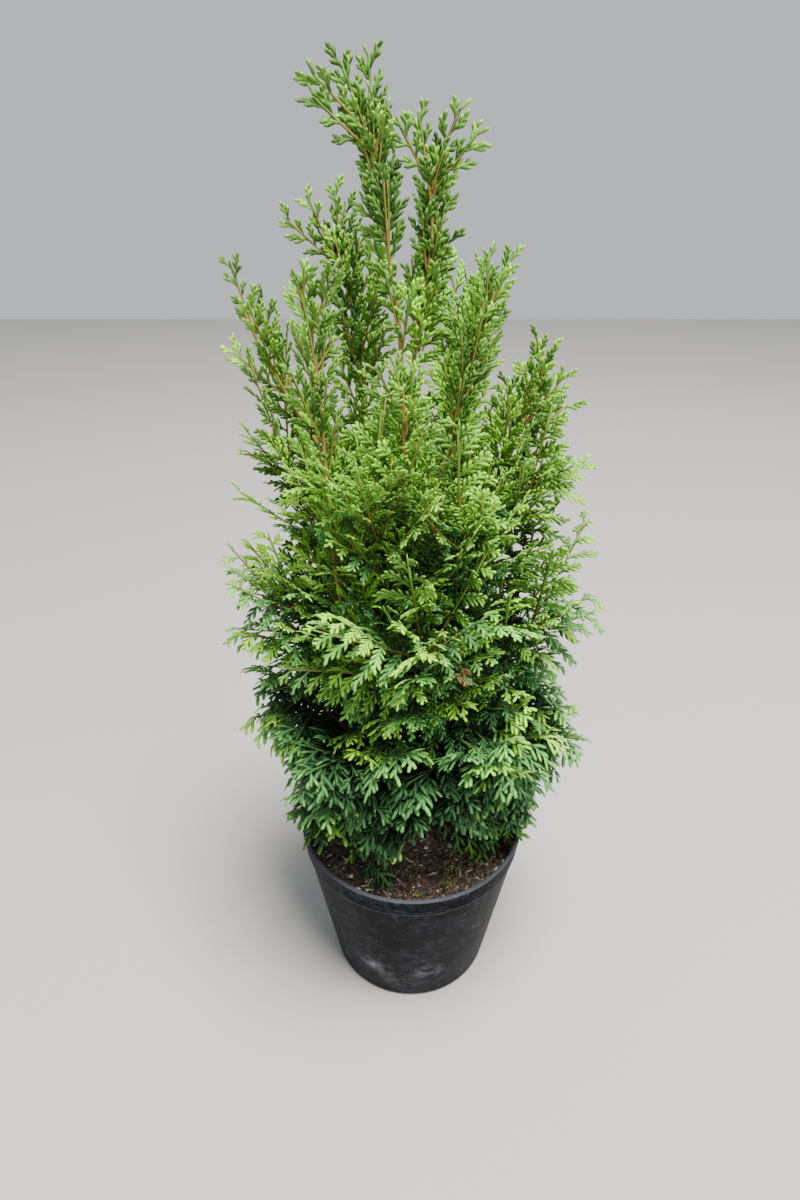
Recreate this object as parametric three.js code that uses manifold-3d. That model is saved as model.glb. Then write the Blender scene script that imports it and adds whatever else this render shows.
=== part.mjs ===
// A young thuja in a black nursery pot. The pot is filled with soil, and out of the soil stands a slim
// main stem that forks into two leaders. Upright boughs rise round it, and each ends in a mass of flat,
// toothed sprays of scale leaves. Millimetres, +Z up, the origin in the middle of the pot's flat
// underside, the front towards -Y.
import * as THREE from "three";
import { mergeVertices } from "three/addons/utils/BufferGeometryUtils.js";
import Module from "manifold-3d";

const wasm = await Module();
wasm.setup();
const { Manifold, Mesh: SolidMesh } = wasm;

// Driving sizes

const CLEAR = 0.3; // between two pieces that touch on the real plant
const FINEST = 0.05; // slivers below this size are smoothed away where sprays join their stem
const MERGE = 1e-4; // corners nearer than this are one

const pot = {
  rimRadius: 95,
  height: 150,
  footRadius: 69,
  wall: 1.8,
  floor: 2.4,
  bandHeight: 17, // the straight band at the top
  bandStep: 1.2,
  lipHeight: 4,
  lipReach: 1.6,
  footRound: 5,
  sides: 32,
};

const soil = {
  top: 132,
  moundHeight: 2.5,
  moundRadius: 30,
  edgeFall: 5, // it sinks this much towards the pot's wall
  edgeSlope: 7.5, // over this width
  footFlat: 15, // the flat patch that the stem stands on
};

const trunk = {
  foot: [3, 5],
  fork: [-6, 0],
  forkHeight: 500,
  sway: 4,
  footRadius: 5.8,
  forkRadius: 2.7,
  flare: 3.4,
  flareHeight: 9,
  sides: 8,
  steps: 10,
  ringCrowding: 1.7, // towards the flare
};

const bough = { sides: 5, steps: 3 };
const stem = { sides: 3, steps: 3, tipRadius: 1.3, taper: 0.8 };
const core = { sides: 4, steps: 2, bulge: 7 }; // a dense mass's stem swells by this much

// One spray of scale leaves: a flattened twig that opens into a toothed blade, flat below and ridged
// above. Its teeth are the finger-like branchlets. The shares are of the blade's length.
const spray = {
  longest: 88,
  shortest: 26,
  thickness: 1.5,
  rootWidth: 1.6,
  teeth: 5,
  firstTooth: 0.13,
  toothStep: 0.135,
  toothReach: 0.6, // of what is left of the blade beyond the tooth's foot
  toothAngle: 41,
  notch: 0.15, // how far past its foot a tooth's notch lies
  midrib: 0.055,
  ridge: [0, 0.2, 0.46], // where the ridge has its corners
  ridgeLead: 0.08, // an edge rises to the last corner that lies this far behind its middle
  sideDroop: 0.12, // the teeth hang down towards the sides, and the blade towards its tip
  tipDroop: 0.06,
  lean: 0.3, // its face leans this much out of the crown
  shrink: 0.95, // from one length that is tried to the next
};

// The ways in which a spray is tried for the one that lets it grow longest: a turn to the side and a
// roll.
const tries = [[0, 0], [0, 50], [0, -50], [18, 0], [-18, 0], [18, 50], [-18, -50]];

// The rings of boughs round the main stem, from the soil up, with how far out and how high the middle of
// each mass is, as shares of the ring's own. The skirt's masses stand on the main stem itself, with no
// bough. Pitch is the range of how steeply the sprays rise.
const rings = [
  { name: "skirt", onStem: true, turn: 54, rootHeight: 152, centreRadius: 58, centreHeight: 194,
    half: [54, 54, 42], reach: [1, 1, 1.04, 0.98, 1.06], height: [1, 1, 1, 1.14, 1],
    tipRise: -0.1, footRadius: 2.4, sprays: 9, pitch: [-55, 15], roll: 20 },
  { name: "lower", turn: 0, rootHeight: 192, centreRadius: 76, centreHeight: 264, half: [60, 56, 54],
    reach: [1.12, 1, 1, 1.02, 1, 1.02], height: [0.94, 1, 1, 1.02, 1, 1],
    tipRise: 0.2, footRadius: 3.2, sprays: 12, pitch: [-45, 60], roll: 30 },
  { name: "middle", turn: 54, rootHeight: 252, centreRadius: 74, centreHeight: 346, half: [64, 62, 60],
    reach: [1, 1, 1.12, 0.98, 1.04], height: [1, 1.02, 1.04, 1.03, 0.99],
    tipRise: 0.3, footRadius: 3, sprays: 13, pitch: [-15, 75], roll: 45 },
  { name: "upper", turn: 0, rootHeight: 322, centreRadius: 60, centreHeight: 436, half: [62, 54, 62],
    reach: [1.14, 0.95, 0.95, 1.3, 0.95, 1], height: [0.98, 1.02, 1, 1.02, 1, 0.97],
    tipRise: 0.35, footRadius: 2.7, sprays: 11, pitch: [10, 80], roll: 60 },
];

// How a ring's boughs run: they bend below the straight way to the mass's middle and end past it. No two
// leave the stem at quite the same height or keep quite the same angle to the next.
const ringRun = { bendShare: 0.5, bendSag: 0.1, tipReach: 0.3, turnJitter: 0.1, heightJitter: 5 };

// The shoots that stand clear at the top: where each leaves the main stem, where it bends, the middle and
// the half sizes of its mass, and the tip of its stem.
const shoots = [
  { name: "left_shoot", rootHeight: 218, knee: [-47, -50, 375], centre: [-60, -36, 540], half: [32, 36, 80],
    tip: [-70, -28, 588], footRadius: 2.6, sprays: 8 },
  { name: "far_left_shoot", rootHeight: 372, knee: [-50, 6, 450], centre: [-96, -4, 542], half: [38, 38, 66],
    tip: [-106, -8, 570], footRadius: 2, sprays: 7 },
  { name: "back_left_shoot", rootHeight: 330, knee: [-28, 32, 425], centre: [-42, 48, 555],
    half: [44, 44, 78], tip: [-52, 54, 600], footRadius: 2.2, sprays: 8 },
  { name: "back_right_shoot", rootHeight: 345, knee: [22, 32, 425], centre: [34, 44, 536], half: [44, 44, 68],
    tip: [38, 50, 570], footRadius: 2.2, sprays: 8 },
  { name: "right_shoot", rootHeight: 405, knee: [18, -12, 470], centre: [38, -12, 546], half: [33, 38, 64],
    tip: [46, -14, 578], footRadius: 2, sprays: 7 },
  { name: "far_right_shoot", rootHeight: 350, knee: [42, 2, 425], centre: [72, -6, 502], half: [40, 40, 56],
    tip: [82, -9, 528], footRadius: 2, sprays: 7 },
  { name: "front_shoot", rootHeight: 300, knee: [-4, -34, 390], centre: [-8, -52, 500], half: [42, 38, 62],
    tip: [-8, -54, 530], footRadius: 2.2, sprays: 8 },
];

// The two leaders above the fork.
const leaders = [
  { name: "left_leader", knee: [-11, -1, 560], centre: [-23, -2, 632], half: [37, 32, 70],
    tip: [-28, -2, 672], footRadius: 2.1, sprays: 9 },
  { name: "right_leader", knee: [0, 2, 548], centre: [9, 2, 606], half: [30, 32, 68], tip: [5, 2, 650],
    footRadius: 2.1, sprays: 8 },
];

const upright = { pitch: [48, 72], roll: 75, forkSpread: 1.8, forkDepth: 3 };
const fan = { half: 85, lowest: 0.1 }; // how far a ring mass's sprays turn aside, and their lowest root
const rimClear = 2; // the foliage hangs no lower than this above the pot's rim

// Where each growth starts in the seeded rule's row of numbers.
const seeds = { perRing: 41, perBough: 7, shoots: 200, perShoot: 11, leaders: 300, perLeader: 13 };

const finishes = {
  pot: { color: 0x1b1c1e, roughness: 0.55 },
  soil: { color: 0x2a1d15, roughness: 0.95 },
  bark: { color: 0x6b4a2e, roughness: 0.85 },
  youngBark: { color: 0x9a7a3c, roughness: 0.75 },
  lowFoliage: { color: 0x2f6a2c, roughness: 0.6 },
  highFoliage: { color: 0x5c9a35, roughness: 0.6 },
};

// Helpers

const UP = new THREE.Vector3(0, 0, 1);
const GOLDEN_SHARE = (Math.sqrt(5) - 1) / 2;
const { degToRad, lerp } = THREE.MathUtils;
const vector = ([x, y, z]) => new THREE.Vector3(x, y, z);

// The seeded rule's number for step i: evenly spread between -1 and 1, and the same on every run.
function spread(i) {
  const turns = (i + 0.5) * GOLDEN_SHARE;
  return 2 * (turns - Math.floor(turns)) - 1;
}

function solidFrom(geometry) {
  const bare = new THREE.BufferGeometry().setAttribute("position", geometry.getAttribute("position"));
  bare.setIndex(geometry.index);
  const merged = mergeVertices(bare, MERGE);
  return new Manifold(
    new SolidMesh({
      numProp: 3,
      vertProperties: new Float32Array(merged.attributes.position.array),
      triVerts: new Uint32Array(merged.index.array),
    }),
  );
}

function geometryFrom(solid) {
  const { vertProperties, triVerts } = solid.getMesh();
  const geometry = new THREE.BufferGeometry()
    .setAttribute("position", new THREE.BufferAttribute(vertProperties, 3))
    .setIndex(new THREE.BufferAttribute(triVerts, 1));
  geometry.computeVertexNormals();
  return geometry;
}

const touches = (a, b) => !a.intersect(b).isEmpty();

const larger = (a, b) => (b.volume() > a.volume() ? b : a);
const largestOf = (solid) => solid.decompose().reduce(larger);

// A closed tube through rings of points, each ring with the same number of sides.
function tubeThrough(loops) {
  const sides = loops[0].length;
  const last = (loops.length - 1) * sides;
  const index = [];
  for (let a = 0; a < last; a++) {
    const b = a - (a % sides) + ((a + 1) % sides);
    index.push(a, b, b + sides, a, b + sides, a + sides);
  }
  for (let side = 1; side + 1 < sides; side++) {
    index.push(0, side + 1, side);
    index.push(last, last + side, last + side + 1);
  }
  const positions = loops.flat().flatMap((p) => p.toArray());
  return new THREE.BufferGeometry()
    .setAttribute("position", new THREE.Float32BufferAttribute(positions, 3))
    .setIndex(index);
}

// A tapering tube along a stretch of a curve, with every ring square to the curve.
function limb(curve, from, to, radiusAt, sides, steps) {
  let across = null;
  const loops = Array.from({ length: steps + 1 }, (_, step) => {
    const share = lerp(from, to, step / steps);
    const centre = curve.getPointAt(share);
    const along = curve.getTangentAt(share);
    across ??= new THREE.Vector3(1, 0, 0).cross(along);
    across.addScaledVector(along, -across.dot(along)).normalize();
    const arm = across.clone().multiplyScalar(radiusAt(share));
    return Array.from({ length: sides }, (_, side) =>
      arm.clone().applyAxisAngle(along, (2 * Math.PI * side) / sides).add(centre),
    );
  });
  return tubeThrough(loops);
}

// Pot and soil

const bandFoot = pot.height - pot.bandHeight;
const bandRadius = pot.rimRadius - pot.lipReach;

// The radius of the pot's outer wall at a height, below the band.
const potRadius = (height) => lerp(pot.footRadius, bandRadius - pot.bandStep, height / bandFoot);

function turned(profile) {
  const points = profile.map(([r, z]) => new THREE.Vector2(r, z));
  return new THREE.LatheGeometry(points, pot.sides).rotateX(Math.PI / 2);
}

function potGeometry() {
  const cut = pot.footRound * (1 - Math.SQRT1_2);
  return turned([
    [0, 0],
    [potRadius(0) - pot.footRound, 0],
    [potRadius(cut) - cut, cut],
    [potRadius(pot.footRound), pot.footRound],
    [potRadius(bandFoot), bandFoot],
    [bandRadius, bandFoot + pot.bandStep],
    [bandRadius, pot.height - pot.lipHeight - pot.lipReach],
    [pot.rimRadius, pot.height - pot.lipHeight],
    [pot.rimRadius, pot.height],
    [bandRadius - pot.wall, pot.height],
    [potRadius(bandFoot) - pot.wall, bandFoot - pot.wall],
    [potRadius(pot.floor) - pot.wall, pot.floor],
    [0, pot.floor],
  ]);
}

function soilGeometry() {
  const low = pot.floor + CLEAR;
  const edge = soil.top - soil.edgeFall;
  const reach = (height) => potRadius(height) - pot.wall - CLEAR;
  return turned([
    [0, low],
    [reach(low), low],
    [reach(edge), edge],
    [reach(edge) - soil.edgeSlope, soil.top],
    [soil.moundRadius, soil.top],
    [soil.footFlat, soil.top + soil.moundHeight],
    [0, soil.top + soil.moundHeight],
  ]);
}

// Main stem

const trunkFoot = soil.top + soil.moundHeight + CLEAR;

// The main stem's axis leans from foot to fork, with a slight sway towards the front.
function trunkAxis(height) {
  const share = (height - trunkFoot) / (trunk.forkHeight - trunkFoot);
  const [x, y] = trunk.foot.map((start, k) => lerp(start, trunk.fork[k], share));
  return new THREE.Vector3(x, y - trunk.sway * Math.sin(Math.PI * share), height);
}

// Level rings, so that the foot is a flat cut on the soil. They lie closer together where the roots
// flare.
function trunkSolid(grow = 0) {
  const loops = Array.from({ length: trunk.steps + 1 }, (_, step) => {
    const share = (step / trunk.steps) ** trunk.ringCrowding;
    const height = lerp(trunkFoot, trunk.forkHeight, share);
    const taper = lerp(trunk.footRadius, trunk.forkRadius, share);
    const radius = taper + trunk.flare * Math.exp((trunkFoot - height) / trunk.flareHeight) + grow;
    return Array.from({ length: trunk.sides }, (_, side) => {
      const turn = (2 * Math.PI * side) / trunk.sides;
      return trunkAxis(height).add(new THREE.Vector3(radius * Math.cos(turn), radius * Math.sin(turn), 0));
    });
  });
  return solidFrom(tubeThrough(loops));
}

// Where everything grows: each growth is a limb, the mass at its end and the space that the mass keeps to

function ringGrowth(ring, i, ringIndex) {
  const count = ring.reach.length;
  const step = i + ringRun.turnJitter * spread(i + seeds.perBough * ringIndex);
  const azimuth = degToRad(ring.turn + (360 / count) * step);
  const out = new THREE.Vector3(Math.cos(azimuth), Math.sin(azimuth), 0);
  const across = new THREE.Vector3(-out.y, out.x, 0);
  const start = trunkAxis(ring.rootHeight + ringRun.heightJitter * spread(3 * i + ringIndex));
  const centre = out.clone().multiplyScalar(ring.centreRadius * ring.reach[i]);
  centre.z = ring.centreHeight * ring.height[i];
  const knee = start.clone().lerp(centre, ringRun.bendShare);
  knee.addScaledVector(UP, -ringRun.bendSag * ring.half[2]);
  const tip = centre.clone().addScaledVector(out, ringRun.tipReach * ring.half[0]);
  tip.addScaledVector(UP, ring.tipRise * ring.half[2]);
  return {
    ...ring, name: `${ring.name}_${i + 1}`, points: [start, knee, centre, tip], centre,
    axes: [out, across, UP], dense: true, seed: seeds.perRing * ringIndex + seeds.perBough * i,
  };
}

function shootGrowth(shoot, start, seed) {
  const [knee, centre, tip] = [shoot.knee, shoot.centre, shoot.tip].map(vector);
  return {
    ...shoot, ...upright, points: [start, knee, centre, tip], centre,
    axes: [new THREE.Vector3(1, 0, 0), new THREE.Vector3(0, 1, 0), UP], dense: false, seed,
  };
}

const growths = [
  ...rings.flatMap((ring, ringIndex) => ring.reach.map((_, i) => ringGrowth(ring, i, ringIndex))),
  ...shoots.map((shoot, i) =>
    shootGrowth(shoot, trunkAxis(shoot.rootHeight), seeds.shoots + seeds.perShoot * i),
  ),
  ...leaders.map((leader, i) => {
    const start = trunkAxis(trunk.forkHeight - upright.forkDepth);
    start.x += Math.sign(leader.tip[0] - trunk.fork[0]) * upright.forkSpread;
    return shootGrowth(leader, start, seeds.leaders + seeds.perLeader * i);
  }),
];

// Whether a point is in a mass's own space: in its ellipsoid, above the soil, and nearer to its own
// middle than to any other mass's. Such a space is convex, so a spray whose corners are in it is in it.
function spaceOf(growth) {
  const walls = growths
    .filter((other) => other !== growth)
    .map((other) => {
      const between = other.centre.clone().sub(growth.centre);
      return { reach: between.length() / 2 - (CLEAR + spray.thickness) / 2, normal: between.normalize() };
    });
  const floor = pot.height + rimClear;
  return (point) => {
    const offset = point.clone().sub(growth.centre);
    const share = growth.axes.reduce((sum, axis, k) => sum + (offset.dot(axis) / growth.half[k]) ** 2, 0);
    return share < 1 && point.z > floor && walls.every(({ normal, reach }) => offset.dot(normal) < reach);
  };
}

const ENTRY_STEPS = 100; // how finely the point is looked for where a limb enters its mass

for (const growth of growths) {
  growth.curve = new THREE.CatmullRomCurve3(growth.points, false, "centripetal");
  growth.length = growth.curve.getLength();
  growth.radiusAt = (share) => lerp(growth.footRadius, stem.tipRadius, share ** stem.taper);
  growth.inside = spaceOf(growth);
  const shares = Array.from({ length: ENTRY_STEPS + 1 }, (_, k) => k / ENTRY_STEPS);
  growth.entry = shares.find((share) => growth.inside(growth.curve.getPointAt(share)));
}

const boughSolid = (growth, grow = 0) =>
  solidFrom(
    limb(
      growth.curve,
      0,
      growth.entry + grow / growth.length,
      (share) => growth.radiusAt(share) + grow,
      bough.sides,
      bough.steps,
    ),
  );

const trunkNode = trunkSolid();
const trunkCut = trunkSolid(CLEAR);
let limbCut = trunkCut;
const boughNodes = growths
  .filter((growth) => !growth.onStem)
  .map((growth) => {
    const solid = largestOf(boughSolid(growth).subtract(limbCut));
    limbCut = limbCut.add(boughSolid(growth, CLEAR));
    return { growth, solid };
  });

// Masses of foliage

// The outline of a spray in its own plane, with x along its midrib: the root, the teeth of one side, the
// tip, and the teeth of the other side. The teeth alternate.
function sprayOutline(length) {
  const angle = degToRad(spray.toothAngle);
  const sides = { left: [], right: [] };
  for (let k = 0; k < spray.teeth; k++) {
    const foot = spray.firstTooth + k * spray.toothStep;
    const reach = spray.toothReach * (1 - foot);
    const [side, sign] = k % 2 ? [sides.left, 1] : [sides.right, -1];
    side.push([foot + reach * Math.cos(angle), sign * reach * Math.sin(angle)]);
    side.push([foot + spray.notch, sign * spray.midrib]);
  }
  const root = spray.rootWidth / 2 / length;
  const shares = [[0, -root], ...sides.right, [1, 0], ...sides.left.reverse(), [0, root]];
  return shares.map(([x, y]) => new THREE.Vector2(x * length, y * length));
}

// A spray in place: its outline's corners, which hang a little out of the plane, and the ridge above
// them.
function sprayPoints(root, along, face, length) {
  const across = face.clone().cross(along);
  const place = (x, y, height) => {
    const droop = spray.sideDroop * Math.abs(y) + (spray.tipDroop * x * x) / length;
    return root
      .clone()
      .addScaledVector(along, x)
      .addScaledVector(across, y)
      .addScaledVector(face, height - droop);
  };
  const corners = sprayOutline(length).map(({ x, y }) => place(x, y, -spray.thickness / 2));
  const ridge = spray.ridge.map((share) => place(share * length, 0, spray.thickness / 2));
  return { corners, ridge };
}

// Each edge of the outline rises to one corner of the ridge, and where two neighbouring edges rise to
// different corners, a triangle joins the two.
function spraySolid({ corners, ridge }, length) {
  const outline = sprayOutline(length);
  const count = corners.length;
  const base = THREE.ShapeUtils.triangulateShape(outline, []).flatMap(([a, b, c]) => [a, c, b]);
  const index = [...base, 0, count, count - 1];
  let previous = 0;
  for (let a = 0; a + 1 < count; a++) {
    const middle = (outline[a].x + outline[a + 1].x) / 2 / length;
    const corner = spray.ridge.findLastIndex((share) => share < middle - spray.ridgeLead);
    if (corner !== previous) index.push(a, count + corner, count + previous);
    index.push(a, a + 1, count + corner);
    previous = corner;
  }
  if (previous !== 0) index.push(count - 1, count, count + previous);
  const positions = [...corners, ...ridge].flatMap((point) => point.toArray());
  const geometry = new THREE.BufferGeometry()
    .setAttribute("position", new THREE.Float32BufferAttribute(positions, 3))
    .setIndex(index);
  return solidFrom(geometry);
}

// The longest spray from a root that stays in the mass's space and is clear of the limbs and the other
// sprays.
function fittingSpray(growth, { root, along }, roll, taken) {
  let best = null;
  for (const [turn, extraRoll] of tries) {
    const ahead = along.clone().applyAxisAngle(UP, degToRad(turn));
    const face = UP.clone().addScaledVector(growth.axes[0], spray.lean);
    face.addScaledVector(ahead, -face.dot(ahead)).normalize();
    face.applyAxisAngle(ahead, roll + degToRad(extraRoll));
    for (let length = spray.longest; length > (best?.length ?? spray.shortest); length *= spray.shrink) {
      const points = sprayPoints(root, ahead, face, length);
      if (!points.corners.slice(1, -1).every(growth.inside)) continue;
      const solid = spraySolid(points, length);
      if (touches(solid, limbCut) || taken.some((other) => touches(solid, other))) continue;
      best = { solid, length };
    }
  }
  return best?.solid ?? null;
}

// Where the sprays of a mass leave its stem, from the tip down, and which way each one points. In a mass
// that leans out they fan out to both sides, and in an upright one each stands a golden-angle turn on
// from the last.
function spraySites(growth, from) {
  return Array.from({ length: growth.sprays }, (_, i) => {
    const share = lerp(1, lerp(from, 1, fan.lowest), i / (growth.sprays - 1));
    const root = growth.curve.getPointAt(share);
    if (i === 0) return { root, along: growth.curve.getTangentAt(1) };
    const turn = growth.dense ? degToRad(fan.half * spread(i + growth.seed)) : 2 * Math.PI * GOLDEN_SHARE * i;
    const pitch = degToRad(lerp(...growth.pitch, (spread(3 * i + growth.seed) + 1) / 2));
    const along = growth.axes[0].clone().applyAxisAngle(UP, turn).multiplyScalar(Math.cos(pitch));
    return { root, along: along.addScaledVector(UP, Math.sin(pitch)) };
  });
}

// A dense mass's stem swells into a slim core, which stands for the leafless twigs inside it.
function stemSolid(growth, from) {
  const shape = growth.dense ? core : stem;
  const radiusAt = (share) => {
    const along = (share - from) / (1 - from);
    return growth.radiusAt(share) + (growth.dense ? core.bulge * Math.sin(Math.PI * along) : 0);
  };
  return solidFrom(limb(growth.curve, from, 1, radiusAt, shape.sides, shape.steps)).subtract(limbCut);
}

function massSolid(growth) {
  const from = growth.onStem ? 0 : growth.entry + CLEAR / growth.length;
  const body = largestOf(stemSolid(growth, from));
  const sprays = [];
  spraySites(growth, Math.max(from, growth.entry)).forEach((site, i) => {
    const made = fittingSpray(growth, site, degToRad(growth.roll * spread(2 * i + growth.seed)), sprays);
    if (made) sprays.push(made);
  });
  return largestOf(Manifold.union([body, ...sprays])).asOriginal().simplify(FINEST);
}

// The whole plant

const plant = new THREE.Group();
plant.name = "potted_thuja";

function addNode(name, geometry, { color, roughness }) {
  const mesh = new THREE.Mesh(geometry, new THREE.MeshStandardMaterial({ color, roughness, metalness: 0 }));
  mesh.name = name;
  plant.add(mesh);
}

addNode("pot", potGeometry(), finishes.pot);
addNode("soil", soilGeometry(), finishes.soil);
addNode("trunk", geometryFrom(trunkNode), finishes.bark);
for (const { growth, solid } of boughNodes) {
  addNode(`bough_${growth.name}`, geometryFrom(solid), growth.dense ? finishes.bark : finishes.youngBark);
}
for (const growth of growths) {
  const finish = growth.dense ? finishes.lowFoliage : finishes.highFoliage;
  addNode(`foliage_${growth.name}`, geometryFrom(massSolid(growth)), finish);
}

export default plant;
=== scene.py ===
"""A young thuja in a black nursery pot, dressed for its portrait: the pot, the soil, the bark and every
spray of scale leaves. All sizes are in millimetres until a mesh is put in, and the axes are the frame's: +Z
up, the origin in the middle of the pot's underside, the front towards -Y."""
import math

import bpy
import numpy as np
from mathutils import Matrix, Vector


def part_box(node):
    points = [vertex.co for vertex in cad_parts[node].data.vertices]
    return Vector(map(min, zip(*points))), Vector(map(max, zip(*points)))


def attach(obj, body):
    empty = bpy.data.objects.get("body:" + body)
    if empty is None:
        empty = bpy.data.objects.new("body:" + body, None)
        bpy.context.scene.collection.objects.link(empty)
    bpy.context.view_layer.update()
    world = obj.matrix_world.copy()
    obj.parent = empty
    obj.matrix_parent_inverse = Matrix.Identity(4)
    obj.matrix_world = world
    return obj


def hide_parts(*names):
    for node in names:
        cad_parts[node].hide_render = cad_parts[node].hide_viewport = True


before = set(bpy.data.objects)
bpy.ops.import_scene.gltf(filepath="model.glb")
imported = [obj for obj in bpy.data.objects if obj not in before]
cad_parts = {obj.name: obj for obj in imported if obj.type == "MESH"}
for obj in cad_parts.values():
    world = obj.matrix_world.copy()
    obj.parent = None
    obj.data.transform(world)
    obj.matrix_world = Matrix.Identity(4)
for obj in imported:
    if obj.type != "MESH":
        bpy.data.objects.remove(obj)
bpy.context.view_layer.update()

# Pot
# A three-litre nursery pot, moulded in one shot from thin black polypropylene. Its wall
# tapers to the foot, and a straight band and a rolled lip stiffen the rim. It is scuffed
# and dusty from the ground it has stood on.

MM = 0.001  # a millimetre in metres

pot_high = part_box("pot")[1]
rim_radius = pot_high.x / MM
rim_height = pot_high.z / MM
foot_radius = 69
wall = 1.8
floor_thickness = 2.4
band_height = 17
band_step = 1.2
band_slope = 1.4
lip_height = 4
lip_reach = 1.6
foot_round = 5
moulding_round = 0.9  # how far the pot's corners are rounded in the mould
pot_facets = 160


def rounded(corners, radii, steps=5):
    """The outline through the corners, with each corner replaced by an arc of its radius. The arc touches
    both edges at the distance radius / tan(half the corner's angle), and its points lie at equal turns."""
    outline = []
    for before, corner, after, radius in zip([None, *corners], corners, [*corners[1:], None], radii):
        if before is None or after is None or radius == 0:
            outline.append(np.array(corner, float))
            continue
        to_before, to_after = (np.subtract(other, corner) for other in (before, after))
        to_before, to_after = (side / np.linalg.norm(side) for side in (to_before, to_after))
        half = math.acos(np.clip(to_before @ to_after, -1, 1)) / 2
        start = corner + to_before * radius / math.tan(half)
        inward = (to_before + to_after) / np.linalg.norm(to_before + to_after)
        centre = corner + inward * radius / math.sin(half)
        arm = start - centre
        whole = math.pi - 2 * half
        way = np.sign(arm[0] * to_before[1] - arm[1] * to_before[0]) * -1
        for turn in np.linspace(0, way * whole, steps):
            c, s = math.cos(turn), math.sin(turn)
            outline.append(centre + np.array([c * arm[0] - s * arm[1], s * arm[0] + c * arm[1]]))
    return np.array(outline)


def closed_rings(rows, facets):
    """The faces of stacked rings of points and of the two poles that follow them: quads from ring to ring, a
    fan of triangles from the first pole to the first ring, and one from the last ring to the last pole."""
    row, side = np.meshgrid(np.arange(rows - 1), np.arange(facets), indexing="ij")
    here, there = row * facets + side, row * facets + (side + 1) % facets
    quads = np.stack([here, there, there + facets, here + facets], axis=-1).reshape(-1, 4)
    around, ahead = np.arange(facets), (np.arange(facets) + 1) % facets
    last, pole = (rows - 1) * facets, rows * facets
    caps = np.concatenate([
        np.stack([np.full(facets, pole), ahead, around], axis=-1),
        np.stack([np.full(facets, pole + 1), last + around, last + ahead], axis=-1),
    ])
    return [quads, caps]


def turned(outline, facets):
    """A surface of revolution about Z. At each angle a, the outline's point at radius r and height z is at
    (r cos a, r sin a, z). Its first and last points lie on the axis and close it as poles."""
    angles = np.linspace(0, 2 * np.pi, facets, endpoint=False)
    ring = outline[1:-1]
    points = np.stack([
        ring[:, None, 0] * np.cos(angles),
        ring[:, None, 0] * np.sin(angles),
        np.broadcast_to(ring[:, None, 1], (len(ring), facets)),
    ], axis=-1).reshape(-1, 3)
    poles = [[0, 0, outline[0][1]], [0, 0, outline[-1][1]]]
    return np.concatenate([points, poles]), closed_rings(len(ring), facets)


def put(name, points, faces, finishes, nodes, slot, picks=None, crease=None):
    """A piece in its place: the points in metres and the faces, a list of arrays of corners, smooth between
    edges that are sharper than the crease angle. Picks is the number of the finish of each face. The piece
    rides on the plant's one body and stands for the named CAD nodes."""
    mesh = bpy.data.meshes.new(name)
    groups = [np.asarray(group, np.int32) for group in faces]
    sizes = np.concatenate([np.full(len(group), group.shape[1], np.int32) for group in groups])
    mesh.vertices.add(len(points))
    mesh.vertices.foreach_set("co", (np.asarray(points, float) * MM).astype(np.float32).ravel())
    mesh.loops.add(int(sizes.sum()))
    mesh.loops.foreach_set("vertex_index", np.concatenate([group.ravel() for group in groups]))
    mesh.polygons.add(len(sizes))
    mesh.polygons.foreach_set("loop_start", np.concatenate([[0], np.cumsum(sizes)[:-1]]).astype(np.int32))
    for finish in finishes:
        mesh.materials.append(finish)
    if picks is not None:
        mesh.polygons.foreach_set("material_index", np.asarray(picks, np.int32))
    mesh.update(calc_edges=True)
    mesh.shade_smooth()
    if crease is not None:
        mesh.set_sharp_from_angle(angle=math.radians(crease))
    piece = bpy.data.objects.new(name, mesh)
    bpy.context.scene.collection.objects.link(piece)
    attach(piece, "root")
    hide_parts(*nodes)


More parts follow.
